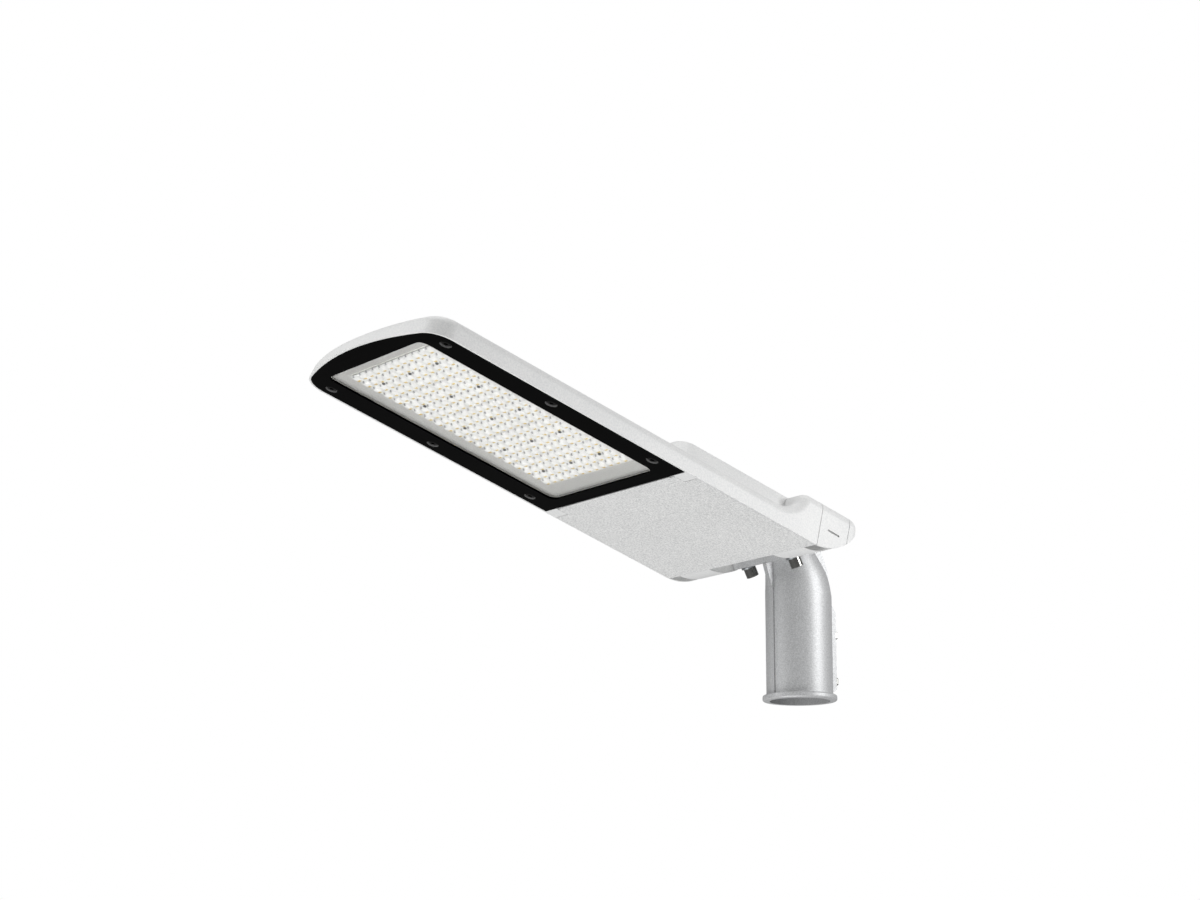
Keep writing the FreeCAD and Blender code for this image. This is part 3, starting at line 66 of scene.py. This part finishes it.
# The solids that are dressed as smooth copies, and the width of their broken edges in mm.
BROKEN_EDGES = {"housing": 0.35, "bezel_frame": 0.25, "driver_cover": 0.2, "tail_hood": 0.2, "spigot": 0.5,
                "saddle_bolts": 0.3, "pole_clamp_bolts": 0.3, "reflector_tray": 0.4, "led_driver": 0.4,
                "surge_protector": 0.4, "terminal_block": 0.2, "hood_screws": 0.15, "saddle_washers": 0.1,
                "cable_gland": 0.2, "gear_plate": 0.0, "hinge_pins": 0.1}

# Shading breaks past the first angle, and an edge is broken past the second.
SHARP_ANGLE = math.radians(28)
EDGE_ANGLE = math.radians(35)

# Camera fitted to the photograph, and the lamps by name, place, width in metres and watts.
CAMERA_PLACE = (-1.7325, -2.1411, -0.3403)
CAMERA_AIM = (0.55764, 0.80231, 0.21290)
CAMERA_LENS = 82.4
LAMPS = (("key", (0.75, -1.35, 0.5), 0.8, 18), ("fill", (-1.5, -0.3, -2.4), 2.0, 56),
         ("nose", (-2.2, 0.6, 1.3), 1.2, 32), ("top", (0.2, 0.8, 2.6), 2.0, 14))
LAMPS_AIM = Vector((-0.25, 0, 0.2))
FLOOR_HEIGHT = -3
ROOM_LIGHT = 0.26


def linear(hex_colour):
    """sRGB hex to linear RGBA."""
    channels = [int(hex_colour[i:i + 2], 16) / 255 for i in (1, 3, 5)]
    return [c / 12.92 if c <= 0.04045 else ((c + 0.055) / 1.055) ** 2.4 for c in channels] + [1]


def add(tree, kind, settings=None, links=None):
    """Adds a node. Settings are properties, input values or a ramp's stops, links the sources of inputs."""
    node = tree.nodes.new(kind)
    for name, value in (settings or {}).items():
        if name == "stops":
            for element, (position, colour) in zip(node.color_ramp.elements, value):
                element.position = position
                element.color = linear(colour)
        elif isinstance(name, str) and name in node.bl_rna.properties:
            setattr(node, name, value)
        else:
            node.inputs[name].default_value = value
    for name, source in (links or {}).items():
        tree.links.new(source, node.inputs[name])
    return node


def new_finish(name):
    """An empty material with its output and the object's own coordinates."""
    finish = bpy.data.materials.new(name)
    finish.use_nodes = True
    tree = finish.node_tree
    tree.nodes.clear()
    output = add(tree, "ShaderNodeOutputMaterial")
    place = add(tree, "ShaderNodeTexCoord").outputs["Object"]
    return finish, tree, output, place


def grained_finish(name, low, high, grain_mm, depth_mm, settings, patch_mm=60, strength=0.6, drift=0.35):
    """A coat or moulding: fine grain in colour and relief, with slow drift of its tone over broad patches."""
    finish, tree, output, place = new_finish(name)
    fine = add(tree, "ShaderNodeTexNoise", {"Scale": 1 / (grain_mm * MM), "Detail": 2}, {"Vector": place})
    broad = add(tree, "ShaderNodeTexNoise", {"Scale": 1 / (patch_mm * MM), "Detail": 1}, {"Vector": place})
    mixed = add(tree, "ShaderNodeMath", {"operation": "MULTIPLY_ADD", 1: drift},
                {0: broad.outputs["Fac"], 2: fine.outputs["Fac"]})
    middle = 0.5 * (1 + drift)
    colour = add(tree, "ShaderNodeValToRGB", {"stops": ((middle - 0.2, low), (middle + 0.2, high))},
                 {"Fac": mixed.outputs["Value"]})
    bump = add(tree, "ShaderNodeBump", {"Distance": depth_mm * MM, "Strength": strength},
               {"Height": fine.outputs["Fac"]})
    shader = add(tree, "ShaderNodeBsdfPrincipled", settings,
                 {"Base Color": colour.outputs["Color"], "Normal": bump.outputs["Normal"]})
    tree.links.new(shader.outputs["BSDF"], output.inputs["Surface"])
    return finish


def glass_finish(name, ripple_mm):
    """A clear pane that lets lamp light through to what is behind it."""
    finish, tree, output, place = new_finish(name)
    ripple = add(tree, "ShaderNodeTexNoise", {"Scale": 1 / (ripple_mm * MM), "Detail": 0}, {"Vector": place})
    bump = add(tree, "ShaderNodeBump", {"Distance": 0.02 * MM, "Strength": 0.2},
               {"Height": ripple.outputs["Fac"]})
    clear = add(tree, "ShaderNodeBsdfPrincipled",
                {"Base Color": linear("#FFFFFF"), "Roughness": 0.0, "IOR": 1.5, "Transmission Weight": 1.0},
                {"Normal": bump.outputs["Normal"]})
    through = add(tree, "ShaderNodeBsdfTransparent")
    ray = add(tree, "ShaderNodeLightPath")
    mixed = add(tree, "ShaderNodeMixShader", links={
        0: ray.outputs["Is Shadow Ray"], 1: clear.outputs["BSDF"], 2: through.outputs["BSDF"]})
    tree.links.new(mixed.outputs["Shader"], output.inputs["Surface"])
    return finish


def make_finishes():
    """Every finish of the object, named for the real material or for the light or shade painted on it."""
    f = {}
    # Polyester powder coat on cast aluminium, near white: satin, a faint orange peel of about 1.6 mm.
    f["white_powder_coat"] = grained_finish("polyester_powder_coat_white", "#E2E3E3", "#F1F1F0", 1.6, 0.05,
                                            {"Roughness": 0.42})
    # Fine-textured powder coat on the door: matt, with a sandy speckle drawn at 1.6 mm so that it shows.
    f["sandy_powder_coat"] = grained_finish("textured_powder_coat_light_grey", "#C4C5C5", "#F3F3F2", 1.6,
                                            0.12, {"Roughness": 0.62}, strength=0.9, drift=0.06)
    # Black gloss coat on the pressed frame: deep and smooth, with hardly any glare at the photograph's angle.
    f["black_gloss_coat"] = grained_finish("gloss_powder_coat_black", "#020202", "#060606", 2.0, 0.02,
                                           {"Roughness": 0.25, "Specular IOR Level": 0.01}, strength=0.3)
    # Silver lacquer with metal flake on the cast spigot: a soft broad sheen over a cast grain of 1.2 mm.
    f["silver_lacquer"] = grained_finish("silver_flake_lacquer", "#B4B5B6", "#D2D3D4", 1.2, 0.1,
                                         {"Roughness": 0.5, "Metallic": 0.35}, strength=0.7, drift=0.1)
    # Moulded polycarbonate of the tray: light warm grey and matt, so that its slopes show as even tones.
    f["tray_polycarbonate"] = grained_finish("moulded_polycarbonate_grey", "#979794", "#A5A5A2", 1.2, 0.03,
                                             {"Roughness": 0.5}, strength=0.4)
    # White solder mask printed on the aluminium board: a smooth white ground that brightens the lenses.
    f["solder_mask"] = grained_finish("white_solder_mask", "#DADAD2", "#ECECE6", 3.0, 0.01,
                                      {"Roughness": 0.35})
    # Phosphor cast in silicone on the LEDs: warm yellow with a soft surface.
    f["phosphor"] = grained_finish("led_phosphor_silicone", "#D9A81E", "#F0CB4E", 0.8, 0.02,
                                   {"Roughness": 0.3})
    # Toughened soda-lime glass of the window: seen only by a faint ripple of 25 mm in its reflections.
    f["window_glass"] = glass_finish("toughened_soda_lime_glass", 25)
    # Injection-moulded acrylic of the lenses: a milky depth gives each bump its own light and shade.
    f["lens_acrylic"] = grained_finish("moulded_acrylic_clear", "#ECEDEB", "#F8F8F6", 1.5, 0.02,
                                       {"Roughness": 0.1, "IOR": 1.49, "Transmission Weight": 0.3},
                                       strength=0.3)
    # The same acrylic with a painted reflection: the LED's yellow, as the lens would show it magnified, is
    # painted on the rear flank.
    f["painted_led_reflection"] = grained_finish("acrylic_with_painted_led_reflection", "#AE8C08", "#D8BC28", 1.2, 0.02,
                                        {"Roughness": 0.1, "IOR": 1.49}, strength=0.3)
    # The same acrylic at a lens's foot, darkened with painted shade for the shade between board and plate.
    f["painted_lens_shade"] = grained_finish("acrylic_with_painted_shade", "#6C6D6D", "#8C8D8D", 1.2, 0.02,
                                    {"Roughness": 0.12, "IOR": 1.49}, strength=0.3)
    # Black lacquer on the frame's screws: smooth, so that the dome draws thin arcs.
    f["black_lacquer"] = grained_finish("black_lacquered_steel", "#040404", "#090909", 1.0, 0.005,
                                        {"Roughness": 0.12, "Specular IOR Level": 0.12}, strength=0.2)
    # The pressed walls of the screw seats, pale grey: a painted highlight, the grey arcs where their edges
    # catch the light.
    f["painted_seat_highlight"] = grained_finish("painted_highlight_on_seat_walls", "#B4B4B4", "#D8D8D8", 0.7, 0.01,
                                    {"Roughness": 0.35, "Metallic": 0.3}, strength=0.3)
    # Bright nickel on the saddle and clamp screws: dark where it mirrors the room, white where a lamp stands.
    f["bright_nickel"] = grained_finish("nickel_plated_steel", "#82827F", "#989895", 0.7, 0.01,
                                        {"Roughness": 0.14, "Metallic": 1.0}, strength=0.3)
    # Turned stainless steel of the hinge pins: pale, with fine marks that soften its glints.
    f["stainless"] = grained_finish("stainless_steel_turned", "#A8A8A6", "#C2C2C0", 0.6, 0.02,
                                    {"Roughness": 0.3, "Metallic": 1.0})
    # Zinc plate on sheet steel, with its soft cloudy spangle.
    f["zinc_plate"] = grained_finish("zinc_plated_steel", "#9FA3A6", "#C4C8CB", 6.0, 0.01,
                                     {"Roughness": 0.38, "Metallic": 1.0}, patch_mm=20)
    # Black oxide on the small screws: dark, with sharp glints.
    f["black_oxide"] = grained_finish("black_oxide_steel", "#141415", "#2B2B2C", 0.6, 0.01,
                                      {"Roughness": 0.25, "Metallic": 0.9})
    # Moulded black nylon of gland and vent: a dull sheen over a fine spark-eroded grain.
    f["black_nylon"] = grained_finish("moulded_nylon_black", "#151515", "#242424", 0.9, 0.04,
                                      {"Roughness": 0.55})
    # Extruded EPDM rubber of door gasket and grommet: soft black that takes no highlight.
    f["black_rubber"] = grained_finish("epdm_rubber_black", "#121212", "#1F1F1F", 1.0, 0.05,
                                       {"Roughness": 0.75})
    # Cast silicone of the glass gasket: off-white and dull.
    f["white_silicone"] = grained_finish("silicone_rubber_white", "#CFCFCB", "#DEDEDA", 1.5, 0.03,
                                         {"Roughness": 0.65})
    # Moulded ABS cases inside the bay: satin, one off-white and one anthracite.
    f["white_abs"] = grained_finish("moulded_abs_white", "#D5D5D0", "#E6E6E2", 1.0, 0.03, {"Roughness": 0.45})
    f["dark_abs"] = grained_finish("moulded_abs_anthracite", "#2A2C30", "#3A3C41", 1.0, 0.03,
                                   {"Roughness": 0.45})
    # Machined brass of the earth screw: warm yellow with small bright glints.
    f["brass"] = grained_finish("machined_brass", "#B08A3C", "#CBA658", 0.6, 0.01,
                                {"Roughness": 0.3, "Metallic": 1.0})
    # Extruded PVC sheath of the lead: smooth red.
    f["red_pvc"] = grained_finish("pvc_sheath_red", "#9E1A14", "#B9281F", 1.0, 0.01, {"Roughness": 0.45})
    return f


NODE_FINISH = {
    "housing": "white_powder_coat",
    "bezel_frame": "black_gloss_coat",
    "glass_pane": "window_glass",
    "glass_gasket": "white_silicone",
    "reflector_tray": "tray_polycarbonate",
    "led_board": "solder_mask",
    "led_chips": "phosphor",
    "lens_plates": "lens_acrylic",
    "lens_screws": "black_oxide",
    "bezel_screws": "black_lacquer",
    "driver_cover": "sandy_powder_coat",
    "cover_gasket": "black_rubber",
    "hinge_pins": "stainless",
    "latch_clips": "zinc_plate",
    "gear_plate": "zinc_plate",
    "gear_plate_screws": "zinc_plate",
    "led_driver": "white_abs",
    "surge_protector": "dark_abs",
    "terminal_block": "white_abs",
    "cable_gland": "black_nylon",
    "gland_nut": "black_nylon",
    "breather_vent": "black_nylon",
    "lead_grommet": "black_rubber",
    "earth_screw": "brass",
    "led_lead": "red_pvc",
    "tail_hood": "white_powder_coat",
    "hood_screws": "black_oxide",
    "spigot": "silver_lacquer",
    "saddle_bolts": "bright_nickel",
    "saddle_washers": "zinc_plate",
    "clamp_bar": "zinc_plate",
    "pole_clamp_bolts": "bright_nickel",
}


def body_of_node(node):
    """The body that a node moves with."""
    bodies = frame["record"]["behaviour"]["bodies"]
    return next(body for body, nodes in bodies.items() if node in nodes)


def finish_piece(piece, node, *finishes):
    """Puts a finished piece in the place of a solid. Each finish goes to the face group of the same order."""
    slots = piece.data.materials
    while len(slots) > len(finishes):
        slots.pop()
    while len(slots) < len(finishes):
        slots.append(None)
    for i, finish in enumerate(finishes):
        slots[i] = FINISH[finish]
    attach(piece, body_of_node(node))
    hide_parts(node)


def new_piece(name, mesh):
    """An object in the scene, at the origin."""
    piece = bpy.data.objects.new(name, mesh)
    bpy.context.scene.collection.objects.link(piece)
    return piece


def applied(piece):
    """The piece as a plain mesh, with its modifiers in it."""
    graph = bpy.context.evaluated_depsgraph_get()
    mesh = bpy.data.meshes.new_from_object(piece.evaluated_get(graph), depsgraph=graph)
    piece.modifiers.clear()
    piece.data = mesh
    return piece


def smooth_copy(node, edge_mm):
    """A welded copy of a solid's mesh with broken edges and smooth shading."""
    work = bmesh.new()
    work.from_mesh(frame["nodes"][node].data)
    bmesh.ops.remove_doubles(work, verts=work.verts, dist=1e-6)
    bmesh.ops.dissolve_degenerate(work, edges=work.edges, dist=1e-6)
    bmesh.ops.dissolve_limit(work, angle_limit=math.radians(0.4), verts=work.verts, edges=work.edges)
    mesh = bpy.data.meshes.new(f"{node}_form")
    work.to_mesh(mesh)
    work.free()
    piece = new_piece(f"{node}_finished", mesh)
    mesh.shade_smooth()
    mesh.set_sharp_from_angle(angle=SHARP_ANGLE)
    if edge_mm:
        bevel = piece.modifiers.new("broken_edges", "BEVEL")
        bevel.width = edge_mm * MM
        bevel.segments = 2
        bevel.limit_method = "ANGLE"
        bevel.angle_limit = EDGE_ANGLE
    weights = piece.modifiers.new("even_shading", "WEIGHTED_NORMAL")
    weights.keep_sharp = True
    return applied(piece)


def set_modifier(modifier, tree, values):
    """Sets a tree's inputs on its modifier by their identifiers."""
    for item in tree.interface.items_tree:
        if item.item_type == "SOCKET" and item.in_out == "INPUT" and item.name in values:
            modifier[item.identifier] = values[item.name]


def grid_tree():
    """Geometry nodes: the object's own mesh is repeated on a grid and gets its finish."""
    tree = bpy.data.node_groups.new("repeat_on_grid", "GeometryNodeTree")
    tree.interface.new_socket("Geometry", in_out="INPUT", socket_type="NodeSocketGeometry")
    for name, kind in (("Count X", "NodeSocketInt"), ("Count Y", "NodeSocketInt"),
                       ("Pitch X", "NodeSocketFloat"), ("Pitch Y", "NodeSocketFloat"),
                       ("Finish", "NodeSocketMaterial")):
        tree.interface.new_socket(name, in_out="INPUT", socket_type=kind)
    tree.interface.new_socket("Geometry", in_out="OUTPUT", socket_type="NodeSocketGeometry")
    given = add(tree, "NodeGroupInput").outputs
    sizes = {}
    for axis in "XY":
        gaps = add(tree, "ShaderNodeMath", {"operation": "SUBTRACT", 1: 1.0}, {0: given[f"Count {axis}"]})
        sizes[f"Size {axis}"] = add(tree, "ShaderNodeMath", {"operation": "MULTIPLY"},
                                    {0: gaps.outputs[0], 1: given[f"Pitch {axis}"]}).outputs[0]
    grid = add(tree, "GeometryNodeMeshGrid", links={
        "Size X": sizes["Size X"], "Size Y": sizes["Size Y"],
        "Vertices X": given["Count X"], "Vertices Y": given["Count Y"]})
    copies = add(tree, "GeometryNodeInstanceOnPoints", links={"Points": grid.outputs["Mesh"],
                                                              "Instance": given["Geometry"]})
    real = add(tree, "GeometryNodeRealizeInstances", links={"Geometry": copies.outputs["Instances"]})
    group = add(tree, "GeometryNodeInputMaterialIndex")
    first = add(tree, "FunctionNodeCompare", {"data_type": "INT", "operation": "EQUAL"},
                {2: group.outputs[0]})
    coated = add(tree, "GeometryNodeSetMaterial", links={
        "Geometry": real.outputs["Geometry"], "Selection": first.outputs[0], "Material": given["Finish"]})
    add(tree, "NodeGroupOutput", links={"Geometry": coated.outputs["Geometry"]})
    return tree


def repeat_on_grid(name, mesh, counts, pitches_mm, finish, tree, more=()):
    """A level field of equal pieces, then tilted with the head. More finishes go to the next face groups."""
    piece = new_piece(name, mesh)
    for extra in (finish, *more):
        mesh.materials.append(FINISH[extra])
    modifier = piece.modifiers.new("grid", "NODES")
    modifier.node_group = tree
    set_modifier(modifier, tree, {"Count X": counts[0], "Count Y": counts[1], "Pitch X": pitches_mm[0] * MM,
                                  "Pitch Y": pitches_mm[1] * MM, "Finish": FINISH[finish]})
    applied(piece)
    piece.data.transform(HEAD)
    return piece


def ring(work, points_mm):
    """A ring of corners, given in mm."""
    return [work.verts.new(Vector(point) * MM) for point in points_mm]


def loft(work, rings):
    """Walls between rings of equal length."""
    for low, high in zip(rings, rings[1:]):
        for i in range(len(low)):
            k = (i + 1) % len(low)
            work.faces.new((low[i], low[k], high[k], high[i]))


def close_ends(work, rings):
    """A face on the first ring and one on the last."""
    work.faces.new(rings[-1])
    work.faces.new(reversed(rings[0]))


def shade(mesh, angle):
    """Smooth shading that breaks at edges sharper than the angle in degrees."""
    mesh.shade_smooth()
    mesh.set_sharp_from_angle(angle=math.radians(angle))


def finished_mesh(work, name):
    """A mesh with its faces outwards."""
    bmesh.ops.recalc_face_normals(work, faces=work.faces)
    mesh = bpy.data.meshes.new(name)
    work.to_mesh(mesh)
    work.free()
    return mesh


def lens_mesh():
    """One lens: a bump drawn out towards the nose.

    Its rear flank carries a painted reflection, a yellow streak for the LED seen through it (face group 1),
    and the foot of its nose flank carries painted shade for the dark between the lenses (face group 2).
    """
    work = bmesh.new()
    grid = []
    for x, rise in LENS_PROFILE:
        u = (x - LENS_MIDDLE) / LENS_HALF
        line = []
        for y, share in LENS_ROWS:
            v = y / LENS_HALF
            line.append((u * math.sqrt(1 - LENS_ROUNDING * v * v) * LENS_HALF + LENS_MIDDLE,
                         v * math.sqrt(1 - LENS_ROUNDING * u * u) * LENS_HALF, LENS_FLOOR - rise * share))
        grid.append(ring(work, line))
    for i in range(len(LENS_PROFILE) - 1):
        for k in range(len(LENS_ROWS) - 1):
            face = work.faces.new((grid[i][k], grid[i][k + 1], grid[i + 1][k + 1], grid[i + 1][k]))
            # Painted reflection: the LED's yellow streak on the rear flank.
            if i == REFLECTION_STRIP and k in REFLECTION_ROWS:
                face.material_index = 1
            # Painted shade at the foot of the nose flank.
            if i in SHADE_STRIPS and k == SHADE_ROW:
                face.material_index = 2
    inner = grid[1:-1]
    work.faces.new(grid[0] + [line[-1] for line in inner]
                   + grid[-1][::-1] + [line[0] for line in inner[::-1]])
    return finished_mesh(work, "lens")


def lens_plate_mesh():
    """The clear plate of one module: a thin sheet with a low rim."""
    work = bmesh.new()
    half, rim, slit = 23.7, 22.2, 0.5
    inside = LENS_FLOOR + 0.8
    levels = ((half, BOARD_FACE), (half, LENS_FLOOR + 0.15), (half - 0.25, LENS_FLOOR), (slit, LENS_FLOOR),
              (slit, inside), (rim, inside), (rim, BOARD_FACE))
    rings = [ring(work, [(-side, -side, z), (side, -side, z), (side, side, z), (-side, side, z)])
             for side, z in levels]
    loft(work, rings + [rings[0]])
    return finished_mesh(work, "lens_plate")


def led_mesh():
    """One LED: a pale package with a phosphor dome, as rings of half a side and a drop below the board."""
    work = bmesh.new()
    rings = []
    for side, drop in ((1.5, 0.01), (1.5, 0.35), (1.35, 0.4), (1.1, 0.62), (0.5, 0.7)):
        cut = side * 0.25
        points = []
        for quarter in range(4):
            for x, y in ((side, cut), (side, side - cut), (side - cut, side), (cut, side)):
                for _ in range(quarter):
                    x, y = -y, x
                points.append((x, y, BOARD_FACE - drop))
        rings.append(ring(work, points))
    loft(work, rings)
    close_ends(work, rings)
    mesh = finished_mesh(work, "led")
    shade(mesh, angle=50)
    return mesh


def screw_mesh(head_radius, head_height, shank_radius, length, seat, drive_radius):
    """A round-headed screw with a six-sided drive. The head hangs below its seat."""
    work = bmesh.new()
    steps = 24
    turns = [2 * math.pi * i / steps for i in range(steps)]
    outside = [(shank_radius, length), (shank_radius, 0), (head_radius, 0)]
    outside += [(head_radius * wide, -head_height * deep) for wide, deep in (
        (1.0, 0.25), (0.95, 0.55), (0.82, 0.82), (0.62, 0.97), (0.5, 1.0))]
    drive = [(drive_radius * wide, -head_height * deep) for wide, deep in (
        (1.08, 1.0), (1.0, 0.9), (0.96, 0.35))]
    rings = [ring(work, [(radius * math.cos(a), radius * math.sin(a), seat + height) for a in turns])
             for radius, height in outside]
    for radius, height in drive:
        points = []
        for a in turns:
            flat = radius * math.cos(math.pi / 6) / math.cos((a + math.pi / 6) % (math.pi / 3) - math.pi / 6)
            points.append((flat * math.cos(a), flat * math.sin(a), seat + height))
        rings.append(ring(work, points))
    loft(work, rings)
    close_ends(work, rings)
    mesh = finished_mesh(work, "screw")
    shade(mesh, angle=35)
    return mesh


def join_pieces(name, meshes):
    """One mesh from several."""
    work = bmesh.new()
    for mesh in meshes:
        work.from_mesh(mesh)
    mesh = bpy.data.meshes.new(name)
    work.to_mesh(mesh)
    work.free()
    return mesh


def mark_seat_highlights(piece):
    """Puts the walls of the frame's screw seats in face group 1, which carries a painted highlight."""
    for _ in range(2):
        piece.data.materials.append(None)
    level = HEAD.inverted()
    pitch, width = FRAME_SCREW_PITCHES
    for face in piece.data.polygons:
        at = level @ face.center / MM
        x = min(abs(at.x - k * pitch) for k in (-1, 0, 1))
        in_seat = math.hypot(x, abs(at.y) - width / 2) < FRAME_SEAT_RADIUS
        if in_seat and 0.02 < at.z < FRAME_SCREW_SEAT - 0.1:
            face.material_index = 1


def light_field(tree):
    """Lenses with their plates, LEDs and the screws of the frame and of the plates."""
    # The lenses' extra face groups carry a painted reflection and painted shade.
    extra = ("painted_led_reflection", "painted_lens_shade")
    lenses = repeat_on_grid("lens_bumps", lens_mesh(), LED_COUNTS, LED_PITCHES, "lens_acrylic", tree, extra)
    plates = repeat_on_grid("lens_sheets", lens_plate_mesh(), PLATE_COUNTS, PLATE_PITCHES, "lens_acrylic",
                            tree)
    joined = new_piece("lens_plates_finished", join_pieces("lens_plates_form", [lenses.data, plates.data]))
    shade(joined.data, angle=50)
    for spent in (lenses, plates):
        bpy.data.objects.remove(spent)
    finish_piece(joined, "lens_plates", "lens_acrylic", *extra)
    plate_screw = screw_mesh(head_radius=1.7, head_height=1.4, shank_radius=1.0, length=5.2, seat=LENS_FLOOR,
                             drive_radius=0.8)
    frame_screw = screw_mesh(head_radius=5.3, head_height=1.8, shank_radius=2.5, length=11,
                             seat=FRAME_SCREW_SEAT, drive_radius=2.2)
    for node, mesh, counts, pitches in (
            ("led_chips", led_mesh(), LED_COUNTS, LED_PITCHES),
            ("lens_screws", plate_screw, PLATE_COUNTS, PLATE_PITCHES),
            ("bezel_screws", frame_screw, FRAME_SCREW_COUNTS, FRAME_SCREW_PITCHES)):
        piece = repeat_on_grid(f"{node}_finished", mesh, counts, pitches, NODE_FINISH[node], tree)
        finish_piece(piece, node, NODE_FINISH[node])


def finish_nodes():
    """Broken edges and smooth walls for what shows, and the right finish for all the rest."""
    for node, edge in BROKEN_EDGES.items():
        piece = smooth_copy(node, edge)
        more = ()
        if node == "bezel_frame":
            # The seat walls get a painted highlight.
            mark_seat_highlights(piece)
            more = ("painted_seat_highlight",)
        finish_piece(piece, node, NODE_FINISH[node], *more)
    for node, finish in NODE_FINISH.items():
        if node not in BROKEN_EDGES:
            slots = frame["nodes"][node].data.materials
            slots.clear()
            slots.append(FINISH[finish])


def place_towards(holder, place, aim):
    """Puts a lamp or camera in its place, looking along a direction."""
    bpy.context.scene.collection.objects.link(holder)
    holder.location = place
    holder.rotation_mode = "QUATERNION"
    holder.rotation_quaternion = aim.to_track_quat("-Z", "Y")


def studio():
    """Pale floor far below, a white backdrop, soft lamps and the camera at the photograph's angle."""
    work = bmesh.new()
    bmesh.ops.create_grid(work, x_segments=1, y_segments=1, size=20,
                          matrix=Matrix.Translation((0, 0, FLOOR_HEIGHT)))
    floor_mesh = bpy.data.meshes.new("floor")
    work.to_mesh(floor_mesh)
    work.free()
    # Matt studio paper: a plain pale ground with the faintest cloud in its tone.
    finish, tree, output, place = new_finish("studio_floor_paper")
    cloud = add(tree, "ShaderNodeTexNoise", {"Scale": 1 / (400 * MM), "Detail": 1}, {"Vector": place})
    colour = add(tree, "ShaderNodeValToRGB", {"stops": ((0.3, "#F0F0F0"), (0.7, "#F4F4F4"))},
                 {"Fac": cloud.outputs["Fac"]})
    shader = add(tree, "ShaderNodeBsdfPrincipled", {"Roughness": 0.9},
                 {"Base Color": colour.outputs["Color"]})
    tree.links.new(shader.outputs["BSDF"], output.inputs["Surface"])
    floor_mesh.materials.append(finish)
    new_piece("floor", floor_mesh)

    world = bpy.data.worlds.new("studio")
    bpy.context.scene.world = world
    world.use_nodes = True
    tree = world.node_tree
    tree.nodes.clear()
    soft = add(tree, "ShaderNodeBackground", {"Color": linear("#FFFFFF"), "Strength": ROOM_LIGHT})
    white = add(tree, "ShaderNodeBackground", {"Color": linear("#FFFFFF"), "Strength": 1.0})
    ray = add(tree, "ShaderNodeLightPath").outputs
    seen = add(tree, "ShaderNodeMath", {"operation": "MAXIMUM"},
               {0: ray["Is Camera Ray"], 1: ray["Is Transmission Ray"]})
    mixed = add(tree, "ShaderNodeMixShader",
                links={0: seen.outputs[0], 1: soft.outputs[0], 2: white.outputs[0]})
    add(tree, "ShaderNodeOutputWorld", links={"Surface": mixed.outputs[0]})

    for name, place, size, power in LAMPS:
        lamp = bpy.data.lights.new(name, "AREA")
        lamp.shape = "DISK"
        lamp.size = size
        lamp.energy = power
        place_towards(bpy.data.objects.new(name, lamp), place, LAMPS_AIM - Vector(place))

    camera = bpy.data.cameras.new("camera")
    camera.sensor_width = 36
    camera.lens = CAMERA_LENS
    camera.clip_start = 0.05
    camera.clip_end = 60
    holder = bpy.data.objects.new("camera", camera)
    place_towards(holder, CAMERA_PLACE, Vector(CAMERA_AIM))
    bpy.context.scene.camera = holder
    bpy.context.scene.view_settings.view_transform = "Standard"


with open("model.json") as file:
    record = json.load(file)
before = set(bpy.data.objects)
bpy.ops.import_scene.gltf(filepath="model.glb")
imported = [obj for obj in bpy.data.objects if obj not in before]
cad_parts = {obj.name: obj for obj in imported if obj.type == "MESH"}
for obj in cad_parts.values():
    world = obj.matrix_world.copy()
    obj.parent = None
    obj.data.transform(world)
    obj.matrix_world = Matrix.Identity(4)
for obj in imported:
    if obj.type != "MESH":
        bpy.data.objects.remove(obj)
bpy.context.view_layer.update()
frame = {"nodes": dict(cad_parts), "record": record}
FINISH = make_finishes()
light_field(grid_tree())
finish_nodes()
studio()
